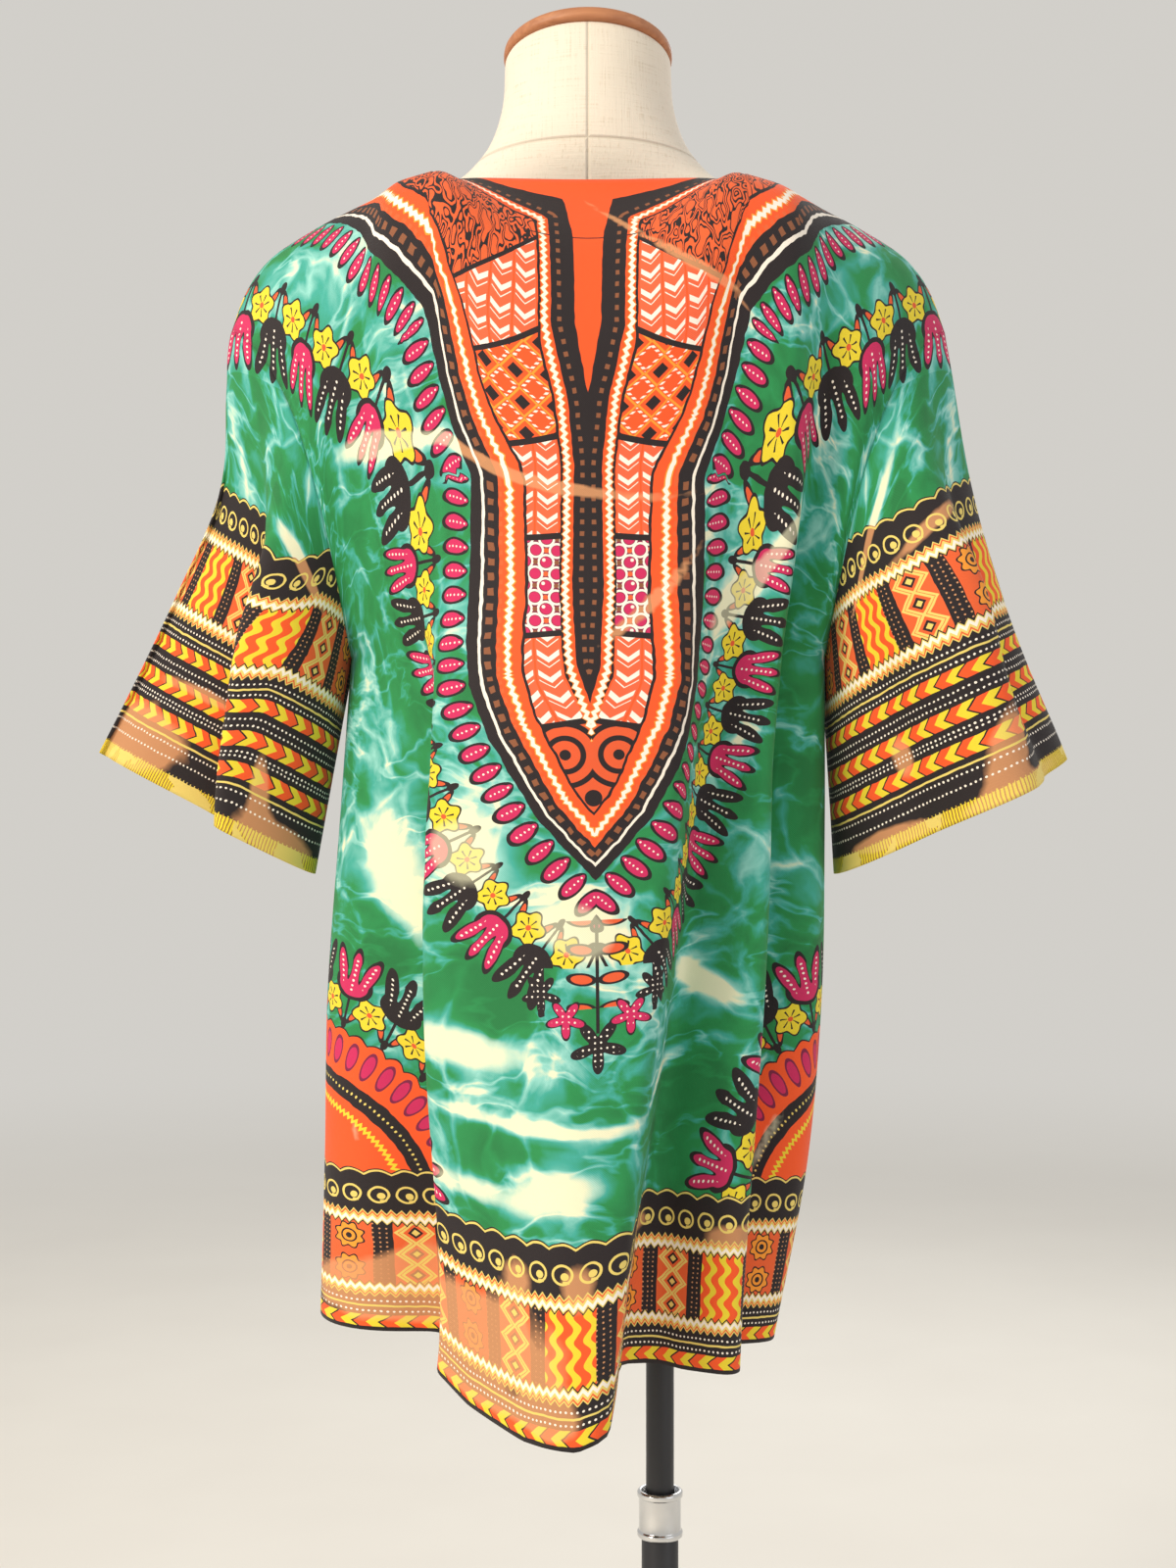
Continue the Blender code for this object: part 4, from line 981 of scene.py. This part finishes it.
def finishCotton(press, shader, inked, pale):
    # discharged places lose their ink down to tan, and the dyed ground goes towards cream
    tree = press["tree"]
    rough = addNode(tree, "TexNoise", {"Vector": press["flat"], "Scale": 60.0, "Detail": 3.0})
    worn = press["worn"] + (PrintField(tree, rough) - 0.5) * 0.5
    worn = ((worn - 0.42) * 3.2).do("MAXIMUM", 0).do("MINIMUM", 0.86)
    paint(press, worn * inked, "tan", blend_type="LIGHTEN")
    paint(press, worn * (inked * -1 + 1) * pale, "cream", blend_type="LIGHTEN")
    tree.links.new(press["colour"], shader.inputs["Base Color"])
    # threads lie 0.3 mm apart, too fine to show, so the weave is drawn at 1.2 mm
    weave = (press["across"] * 5.236).do("SINE") * (press["down"] * 5.236).do("SINE")
    crease = addNode(tree, "TexNoise", {"Vector": press["flat"], "Scale": 24.0, "Detail": 5.0})
    height = weave * 0.08 + PrintField(tree, crease)
    bump = addNode(tree, "Bump", {"Strength": 0.32, "Distance": 0.004, "Height": height.socket})
    tree.links.new(bump, shader.inputs["Normal"])


def makePanelCotton():
    # wax-printed plain-weave cotton, matt, with a faint sheen on the turns of its folds
    material, tree, shader = newMaterial("waxPrintedCotton", cottonFinish)
    names = (
        "ring", "along", "flowerRing", "flowerAlong", "petalAlong", "strip", "spine", "spineAlong",
        "cellEdge", "cellRow", "bleach",
    )
    press = startPress(tree, names)
    dyeGround(press, press["ring"].near(34, 44) * 0.10)
    sprig = (abs(press["across"]) < 30) & (press["down"] > 512)  # the sprig grows there
    drawFlowers(press, press["flowerRing"] + press["waver"] * 0.8 + 58 + sprig * 99, press["flowerAlong"])
    drawPetals(press, press["ring"] + press["waver"] * 0.8, press["petalAlong"])
    drawSprig(press)
    drawCorner(press)
    drawYoke(press)
    deep = (press["down"] - hemBorder["top"]) * (120 / hemBorder["depth"])
    drawBorder(press, deep, press["across"] + 300, False)
    finishCotton(press, shader, (press["ring"] < 0) | (deep > -3), 0.5)
    return material


def makeSleeveCotton():
    # the same cotton, cut from the bordered edge of the cloth
    material, tree, shader = newMaterial("borderPrintedCotton", cottonFinish)
    press = startPress(tree, ("flowerRing", "flowerAlong", "cuffUp", "bleach"))
    dyeGround(press, press["flowerRing"].near(-22, 44) * 0.10)
    drawFlowers(press, press["flowerRing"] + press["waver"] * 0.8 + 58, press["flowerAlong"])
    deep = press["cuffUp"] * -1 + 200
    drawBorder(press, deep, press["across"] + 300, True)
    finishCotton(press, shader, deep > -3, 0.85)
    return material


panelCotton = makePanelCotton()
sleeveCotton = makeSleeveCotton()
print("print drawn")

panels = {}
for side in ("back", "front"):
    points, faces, flat = panelSheet(side)
    onSeam = np.abs(points[:, 1]) < 0.0012
    points[onSeam, 1] = 0.0
    panels[side] = walledCloth(side + "PanelCloth", points, faces, flat, panelFields(side, flat), onSeam)
    panels[side].data.materials.append(panelCotton)
print("panels made")

# sleeves
sleeveCut = {
    "round": 0.54, "length": 0.29, "drop": math.radians(21), "gap": 0.0002, "sag": 0.010, "fullness": 0.10,
}
cuffs = {  # an open oval from its outer, upper end to its inner, lower end
    "left": {"outer": (0.355, 1.001), "inner": (0.186, 0.909), "halfDepth": 0.046},
    "right": {"outer": (0.322, 0.987), "inner": (0.168, 0.909), "halfDepth": 0.066},
}
sleeveFolds = {
    "left": [
        (-0.080, -0.160, 0.032, 0.024, -10, -118, -120),
        (0.110, 0.110, 0.030, 0.030, 0, 40, 50),
        (0.175, 0.175, 0.030, 0.030, 0, -40, -50),
    ],
    "right": [
        (-0.060, -0.085, 0.022, 0.022, -10, -72, -50),
        (-0.140, -0.150, 0.030, 0.030, 8, 44, 40),
        (0.110, 0.110, 0.030, 0.030, 0, 40, 50),
        (0.175, 0.175, 0.030, 0.030, 0, -40, -50),
    ],
}
sleeveMesh = {"rows": 90, "columns": 210, "densestLevel": 1.7, "widest": 0.0040, "turnStep": 6}


def sleeveRings(hand):
    dense = shirtCut["dense"]
    cuff = cuffs[hand]
    half = armholeEdge(np.linspace(0, 1, dense + 1))
    first = np.vstack([half, half[-2::-1] * np.array([1.0, -1.0, 1.0])])
    outer = np.array([cuff["outer"][0], 0.0, cuff["outer"][1]])
    inner = np.array([cuff["inner"][0], 0.0, cuff["inner"][1]])
    angles = np.linspace(0, 2 * math.pi, 721)
    oval = (outer + inner) / 2 + np.outer(np.cos(angles), (outer - inner) / 2)
    oval -= np.outer(np.sin(angles), [0.0, cuff["halfDepth"], 0.0])
    around = np.linspace(0, 1, 2 * dense + 1)
    last = resample(oval, around)
    gap = sleeveCut["gap"] * np.array([math.cos(sleeveCut["drop"]), 0.0, -math.sin(sleeveCut["drop"])])
    rows = []
    for share in np.linspace(0, 1, dense + 1):
        ring = (first + gap) * (1 - share) + last * share
        ring[:, 0] -= sleeveCut["sag"] * math.sin(math.pi * share) * np.cos(math.pi * around) ** 2
        ring[:, 1] *= 1 + sleeveCut["fullness"] * math.sin(math.pi * min(1.0, share * 1.4))
        rows.append(ring)
    return np.array(rows)


def sleeveRow(rings, folds, level, positions):
    ring, _, _ = betweenRows(rings, level * shirtCut["dense"])
    across, along, out, _ = foldPath(folds, level * 2, sleeveCut["round"] / 2)
    where = np.interp(positions, across, (along - along[0]) / (along[-1] - along[0]))
    lengths = arcLengths(ring)
    turned = (1.5 - where) % 1.0 * lengths[-1]
    tangents = np.gradient(ring, axis=0)
    tangents[0] = tangents[-1] = ring[1] - ring[-2]
    normals = np.cross(tangents, rings[-1] - rings[0])
    normals /= np.linalg.norm(normals, axis=1, keepdims=True)
    return raisedFrom(ring, normals, lengths, turned, np.interp(positions, across, out))


def sleeveSheet(hand):
    folds = sleeveFolds[hand]
    rings = sleeveRings(hand)
    positions = spreadColumns(folds, sleeveCut["round"] / 2, sleeveMesh["columns"], sleeveMesh)
    levels = np.linspace(0, 1, sleeveMesh["rows"] + 1)
    rows = [sleeveRow(rings, folds, level, positions) for level in levels]
    count = len(positions)
    points = np.vstack(rows)
    flat = np.array([(position, sleeveCut["length"] * level) for level in levels for position in positions])
    faces = gridFaces(len(levels), count).reshape(-1, 4)
    if hand == "left":
        points[:, 0] *= -1
        faces = faces[:, ::-1]
    return points, faces, flat


sleeves = {}
for hand in ("left", "right"):
    points, faces, flat = sleeveSheet(hand)
    sleeves[hand] = walledCloth(hand + "SleeveCloth", points, faces, flat, sleeveFields(hand, points, flat))
    sleeves[hand].data.materials.append(sleeveCotton)
print("sleeves made")

# the dress form
formShape = {
    "offset": -0.049, "sides": 40, "neckTop": 1.458, "neckTilt": math.radians(13),
    "seamHeight": 1.3885, "seamWidth": 0.0016,
}
formRings = [  # height, half width, depth at the back and at the front
    (0.706, 0.116, 0.066, 0.072), (0.716, 0.124, 0.072, 0.079), (0.770, 0.128, 0.073, 0.085),
    (0.850, 0.132, 0.074, 0.088), (0.940, 0.130, 0.076, 0.086), (1.030, 0.124, 0.077, 0.086),
    (1.120, 0.134, 0.082, 0.094), (1.190, 0.148, 0.084, 0.094), (1.250, 0.166, 0.080, 0.084),
    (1.295, 0.188, 0.068, 0.068), (1.320, 0.199, 0.056, 0.054), (1.3305, 0.195, 0.050, 0.048),
    (1.341, 0.185, 0.046, 0.045), (1.3535, 0.162, 0.045, 0.040), (1.3655, 0.124, 0.046, 0.038),
    (1.375, 0.0905, 0.049, 0.041), (1.386, 0.079, 0.053, 0.047), (1.401, 0.066, 0.056, 0.053),
    (1.425, 0.0585, 0.056, 0.054), (1.440, 0.0568, 0.056, 0.054),
]
capDisc = {"thickness": 0.0086, "round": 0.0030}
standParts = {
    "innerTube": {"radius": 0.0095, "wall": 0.0018, "bottom": 0.130, "top": 0.826},
    "outerTube": {"radius": 0.0125, "wall": 0.0018, "bottom": 0.010, "top": 0.480},
    "collar": {"radius": 0.0155, "bore": 0.0127, "bottom": 0.458, "top": 0.490, "bead": 0.0012},
    "socket": {"radius": 0.019, "bore": 0.0127, "height": 0.040, "flange": 0.032, "flangeHeight": 0.004},
    "base": {"radius": 0.150, "edge": 0.005, "dome": 0.004},
    "knob": {"radius": 0.011, "shaft": 0.0018, "height": 0.469, "ribs": 12},
}


def selectOnly(item):
    bpy.ops.object.select_all(action="DESELECT")
    item.select_set(True)
    bpy.context.view_layer.objects.active = item


def selectWhere(item, chosen):  # goes into edit mode with these vertices selected
    selectOnly(item)
    for parts in (item.data.vertices, item.data.edges, item.data.polygons):
        parts.foreach_set("select", [False] * len(parts))
    for vertex in item.data.vertices:
        vertex.select = chosen(vertex.co)
    bpy.ops.object.mode_set(mode="EDIT")


def applyModifier(item, kind, **settings):
    selectOnly(item)
    modifier = item.modifiers.new(kind.title(), kind)
    for key, value in settings.items():
        setattr(modifier, key, value)
    bpy.ops.object.modifier_apply(modifier=modifier.name)


def finishPiece(item, name, material, angle=35):
    item.name = item.data.name = name
    selectOnly(item)
    bpy.ops.object.mode_set(mode="EDIT")
    bpy.ops.mesh.select_all(action="SELECT")
    bpy.ops.mesh.remove_doubles(threshold=0.00002)
    bpy.ops.mesh.normals_make_consistent(inside=False)
    bpy.ops.object.mode_set(mode="OBJECT")
    bpy.ops.object.transform_apply(location=True, rotation=True, scale=True)
    bpy.ops.object.shade_smooth_by_angle(angle=math.radians(angle))
    item.data.materials.clear()
    item.data.materials.append(material)
    return item


def stepRing(rise, slide, wide, deep, centre):  # pulls the selected ring up into the next one
    bpy.ops.mesh.extrude_region_move(TRANSFORM_OT_translate={"value": (0, slide, rise)})
    bpy.ops.transform.resize(value=(wide, deep, 1), center_override=centre)


def makeForm(material):
    middle = formShape["offset"]
    height, halfWidth, back, front = formRings[0]
    bpy.ops.object.select_all(action="DESELECT")
    bpy.ops.mesh.primitive_circle_add(
        vertices=formShape["sides"], radius=halfWidth, location=(middle, (front - back) / 2, height)
    )
    form = bpy.context.object
    bpy.ops.object.mode_set(mode="EDIT")
    bpy.ops.mesh.select_all(action="SELECT")
    bpy.ops.transform.resize(
        value=(1, (front + back) / 2 / halfWidth, 1), center_override=(middle, (front - back) / 2, height)
    )
    last = formRings[0]
    for ring in formRings[1:]:
        shift = (ring[3] - ring[2] - last[3] + last[2]) / 2
        centre = (middle, (ring[3] - ring[2]) / 2, ring[0])
        deeper = (ring[2] + ring[3]) / (last[2] + last[3])
        stepRing(ring[0] - last[0], shift, ring[1] / last[1], deeper, centre)
        last = ring
    # the neck is cut on a slant under its cap
    top = (middle, 0, formShape["neckTop"])
    stepRing(0.018, 0, 1, 1, top)
    bpy.ops.transform.rotate(value=formShape["neckTilt"], orient_axis="X", center_override=top)
    for share in (0.985, 0.6):  # a crisp rim
        stepRing(0, 0, share, share, top)
    bpy.ops.mesh.edge_face_add()
    bpy.ops.object.mode_set(mode="OBJECT")
    # the underside turns in to the pole
    selectWhere(form, lambda place: place.z < 0.0001)
    stepRing(0, 0, 0.93, 0.93, (middle, 0.003, 0.706))
    stepRing(0.003, 0, 0.6, 0.6, (middle * 0.4, 0.002, 0.709))
    stepRing(0, 0, 0.25, 0.25, (0, 0, 0.709))
    bpy.ops.mesh.edge_face_add()
    bpy.ops.object.mode_set(mode="OBJECT")
    applyModifier(form, "SUBSURF", levels=2, render_levels=2)
    return finishPiece(form, "linenForm", material, 50)


def roundEdges(piece, width, segments):
    limit = math.radians(40)
    applyModifier(piece, "BEVEL", width=width, segments=segments, limit_method="ANGLE", angle_limit=limit)


def makeTurned(name, profile, material, sides, bevel, closed=False):  # a profile of radii and heights
    radius, height = profile[0]
    bpy.ops.object.select_all(action="DESELECT")
    bpy.ops.mesh.primitive_circle_add(vertices=sides, radius=radius, location=(0, 0, height))
    piece = bpy.context.object
    bpy.ops.object.mode_set(mode="EDIT")
    bpy.ops.mesh.select_all(action="SELECT")
    if not closed:
        bpy.ops.mesh.edge_face_add()
        bpy.ops.mesh.select_all(action="SELECT")
    for nextRadius, nextHeight in profile[1:]:
        growth = nextRadius / radius
        stepRing(nextHeight - height, 0, growth, growth, (0, 0, nextHeight))
        radius, height = nextRadius, nextHeight
    if closed:  # a tube's wall ends where it began
        bpy.ops.mesh.select_all(action="SELECT")
        bpy.ops.mesh.remove_doubles(threshold=0.00002)
    bpy.ops.object.mode_set(mode="OBJECT")
    if bevel:
        roundEdges(piece, bevel, 2)
    return finishPiece(piece, name, material)


def makeCap(material):  # a turned wooden disc, tilted with the neck
    low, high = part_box("neck_cap")
    tilt = formShape["neckTilt"]
    middle = ((low[0] + high[0]) / 2, (low[1] + high[1]) / 2, (low[2] + high[2]) / 2)
    halfWidth, halfDepth = (high[0] - low[0]) / 2, (high[1] - low[1]) / 2
    bpy.ops.object.select_all(action="DESELECT")
    bpy.ops.mesh.primitive_cylinder_add(
        vertices=96, radius=halfWidth, depth=capDisc["thickness"], location=middle
    )
    cap = bpy.context.object
    bpy.ops.object.mode_set(mode="EDIT")
    bpy.ops.mesh.select_all(action="SELECT")
    bpy.ops.transform.resize(value=(1, halfDepth / halfWidth / math.cos(tilt), 1), center_override=middle)
    bpy.ops.transform.rotate(value=tilt, orient_axis="X", center_override=middle)
    bpy.ops.object.mode_set(mode="OBJECT")
    roundEdges(cap, capDisc["round"], 4)
    return finishPiece(cap, "woodenCap", material, 40)


def linenMaterial():
    # plain-weave natural linen stretched over a hard shell: matt, cream, with slubs and pressed seams
    material, tree, shader = newMaterial("stretchedLinen", {"Roughness": 0.9, "Sheen Weight": 0.15})
    place = addNode(tree, "TexCoord", output=3)
    cloud = addNode(tree, "TexNoise", {"Vector": place, "Scale": 9.0, "Detail": 3.0})
    shade = addNode(
        tree, "Mix", {0: cloud, 6: toLinear("#DDD2BF"), 7: toLinear("#F2EADB")}, output=2, data_type="RGBA"
    )
    # slubs run along both threads, 20 to 40 mm long and under 1 mm thick
    heights = []
    for stretch in ((40.0, 40.0, 900.0), (900.0, 900.0, 40.0)):
        scaled = addNode(tree, "VectorMath", (place, stretch), operation="MULTIPLY")
        thread = PrintField(tree, addNode(tree, "TexNoise", {"Vector": scaled, "Scale": 1.0, "Detail": 2.0}))
        heights.append(thread)
    slub = heights[0] + heights[1]
    shade = addNode(
        tree, "Mix", {0: ((slub - 1.08) * 1.5).do("MAXIMUM", 0).socket, 6: shade, 7: toLinear("#C2B296")},
        output=2, data_type="RGBA",
    )
    parts = addNode(tree, "SeparateXYZ", (place,)).node.outputs
    x, y, z = (PrintField(tree, part) for part in parts)
    upright = abs(x - formShape["offset"])
    collarSeam = abs(z + y * 0.10 - formShape["seamHeight"])
    seam = upright.do("MINIMUM", collarSeam) / formShape["seamWidth"]
    groove = (seam * -1 + 1).do("MAXIMUM", 0)
    shade = addNode(
        tree, "Mix", {0: (groove * 0.4).socket, 6: shade, 7: toLinear("#B0A289")}, output=2, data_type="RGBA"
    )
    tree.links.new(shade, shader.inputs["Base Color"])
    height = slub * 0.35 - groove * 1.6
    bump = addNode(tree, "Bump", {"Strength": 0.5, "Distance": 0.0012, "Height": height.socket})
    tree.links.new(bump, shader.inputs["Normal"])
    return material


def finishSurface(tree, shader, share, shades, relief, strength, depth):  # a mixed tone and fine relief
    low, high = (toLinear(shade) for shade in shades)
    tone = addNode(tree, "Mix", {0: share, 6: low, 7: high}, output=2, data_type="RGBA")
    tree.links.new(tone, shader.inputs["Base Color"])
    bump = addNode(tree, "Bump", {"Strength": strength, "Distance": depth, "Height": relief})
    tree.links.new(bump, shader.inputs["Normal"])


def woodMaterial():
    # varnished beech: reddish brown with fine grain along the disc, satin
    material, tree, shader = newMaterial(
        "varnishedBeech", {"Roughness": 0.55, "Coat Weight": 0.08, "Coat Roughness": 0.45}
    )
    place = addNode(tree, "TexCoord", output=3)
    long = addNode(tree, "VectorMath", (place, (14.0, 260.0, 260.0)), operation="MULTIPLY")
    grain = addNode(tree, "TexNoise", {"Vector": long, "Scale": 1.0, "Detail": 5.0, "Distortion": 0.6})
    pores = addNode(tree, "TexNoise", {"Vector": long, "Scale": 6.0, "Detail": 1.0})
    finishSurface(tree, shader, grain, ("#8E5332", "#C98A5E"), pores, 0.12, 0.0004)
    return material


def steelMaterial():
    # powder-coated steel: near black, low gloss, with the coat's fine orange peel and a little dust
    material, tree, shader = newMaterial("powderCoatedSteel", {"Roughness": 0.42})
    place = addNode(tree, "TexCoord", output=3)
    dust = addNode(tree, "TexNoise", {"Vector": place, "Scale": 28.0, "Detail": 6.0})
    faint = PrintField(tree, dust) * 0.35
    rough = PrintField(tree, dust) * 0.25 + 0.30
    tree.links.new(rough.socket, shader.inputs["Roughness"])
    peel = addNode(tree, "TexNoise", {"Vector": place, "Scale": 900.0, "Detail": 1.0})
    finishSurface(tree, shader, faint.socket, ("#17171B", "#3A3A3E"), peel, 0.08, 0.0003)
    return material


def chromeMaterial():
    # chrome plate over a turned ring: bright, with hair-fine turning lines and a few smudges
    material, tree, shader = newMaterial("chromePlate", {"Roughness": 0.12, "Metallic": 1.0})
    place = addNode(tree, "TexCoord", output=3)
    smudge = addNode(tree, "TexNoise", {"Vector": place, "Scale": 70.0, "Detail": 4.0})
    rough = PrintField(tree, smudge) * 0.22 + 0.04
    tree.links.new(rough.socket, shader.inputs["Roughness"])
    lines = addNode(tree, "VectorMath", (place, (6.0, 6.0, 2600.0)), operation="MULTIPLY")
    turning = addNode(tree, "TexNoise", {"Vector": lines, "Scale": 1.0})
    finishSurface(tree, shader, smudge, ("#C9CACC", "#E4E4E4"), turning, 0.05, 0.0002)
    return material


def knobMaterial():
    # moulded phenolic knob: black, finely grained, a little shiny where fingers turn it
    material, tree, shader = newMaterial("mouldedPhenolic", {"Roughness": 0.5})
    place = addNode(tree, "TexCoord", output=3)
    grain = addNode(tree, "TexNoise", {"Vector": place, "Scale": 600.0, "Detail": 2.0})
    finishSurface(tree, shader, grain, ("#101012", "#27272A"), grain, 0.15, 0.0003)
    return material


def makeTube(name, part, material):
    inner = part["radius"] - part["wall"]
    wall = [(part["radius"], part["bottom"]), (part["radius"], part["top"]), (inner, part["top"]),
            (inner, part["bottom"]), (part["radius"], part["bottom"])]
    return makeTurned(name, wall, material, 64, 0.0003, True)


def makeCollar(material):  # a ring with a bead at each end
    part = standParts["collar"]
    radius, bead, inner = part["radius"], part["bead"], part["bore"]
    bottom, top = part["bottom"], part["top"]
    lines = [(radius - bead, bottom), (radius, bottom + 0.0012), (radius, bottom + 0.004),
             (radius - bead, bottom + 0.005), (radius - bead, top - 0.005), (radius, top - 0.004),
             (radius, top - 0.0012), (radius - bead, top)]
    closed = lines + [(inner, top), (inner, bottom), lines[0]]
    return makeTurned("clampCollar", closed, material, 72, 0.0003, True)


def makeKnob(material):  # a ribbed knob on its screw, out from the collar towards +Y
    low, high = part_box("clamp_knob")
    part = standParts["knob"]
    length = high[1] - low[1]
    lines = [(part["shaft"], 0), (part["shaft"], length * 0.38), (part["radius"] * 0.55, length * 0.40),
             (part["radius"] * 0.62, length * 0.50), (part["radius"] * 0.98, length * 0.56),
             (part["radius"] * 0.98, length * 0.90), (part["radius"] * 0.80, length)]
    knob = makeTurned("clampKnob", lines, material, 48, 0.0005)

    def standsIn(place):  # every other rib, by 0.8 mm
        return place.z > length * 0.5 and math.cos(math.atan2(place.y, place.x) * part["ribs"]) < 0

    selectWhere(knob, standsIn)
    bpy.ops.transform.resize(value=(0.93, 0.93, 1), center_override=(0, 0, length))
    bpy.ops.mesh.select_all(action="SELECT")
    bpy.ops.transform.rotate(value=math.pi / 2, orient_axis="X", center_override=(0, 0, 0))
    bpy.ops.object.mode_set(mode="OBJECT")
    corner = np.array([vertex.co[:] for vertex in knob.data.vertices])
    if corner[:, 1].max() < 0.001:  # the turn went the other way
        for vertex in knob.data.vertices:
            vertex.co.y, vertex.co.z = -vertex.co.y, -vertex.co.z
    knob.location = (0, low[1], part["height"])
    return finishPiece(knob, "clampKnob", material)


def makeSocket(material):
    part = standParts["socket"]
    floor = standParts["base"]["edge"] + standParts["base"]["dome"]
    inner = part["bore"]
    lines = [(part["flange"], floor - 0.0008), (part["flange"], floor + part["flangeHeight"]),
             (part["radius"] + 0.004, floor + part["flangeHeight"] + 0.001),
             (part["radius"], floor + part["flangeHeight"] + 0.006), (part["radius"], floor + part["height"]),
             (inner, floor + part["height"]), (inner, floor - 0.0008), (part["flange"], floor - 0.0008)]
    return makeTurned("poleSocket", lines, material, 72, 0.0005, True)


def makeBase(material):  # a pressed plate: rolled edge, then a low dome
    part = standParts["base"]
    radius, edge, dome = part["radius"], part["edge"], part["dome"]
    lines = [(radius - 0.0015, 0.0), (radius, 0.0015), (radius, edge - 0.0015), (radius - 0.002, edge)]
    for share in (0.9, 0.75, 0.55, 0.35, 0.2):
        lines.append((radius * share, edge + dome * (1 - share**2)))
    return makeTurned("basePlate", lines, material, 128, 0.0)


linen = linenMaterial()
steel = steelMaterial()
hardPieces = {
    "form_torso": ("form", "linen", makeForm(linen)),
    "neck_cap": ("form", "cap_wood", makeCap(woodMaterial())),
    "inner_tube": ("mast", "black_steel", makeTube("innerTube", standParts["innerTube"], steel)),
    "outer_tube": ("stand", "black_steel", makeTube("outerTube", standParts["outerTube"], steel)),
    "collar": ("stand", "collar_chrome", makeCollar(chromeMaterial())),
    "clamp_knob": ("stand", "knob_plastic", makeKnob(knobMaterial())),
    "socket": ("stand", "black_steel", makeSocket(steel)),
    "base": ("stand", "black_steel", makeBase(steel)),
}
for node, (body, slot, piece) in hardPieces.items():
    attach(piece, body)
    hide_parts(node)
print("form and stand made")

# what each piece of cloth is and what it rides on
clothFacts = {
    "back": ("back_panel", (0.57, 0.775), 0.43),
    "front": ("front_panel", (0.57, 0.775), 0.43),
}
for side, (node, flatSize, area) in clothFacts.items():
    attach(panels[side], "form")
    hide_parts(node)
for hand in ("left", "right"):
    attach(sleeves[hand], "form")
    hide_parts("sleeve_" + hand)
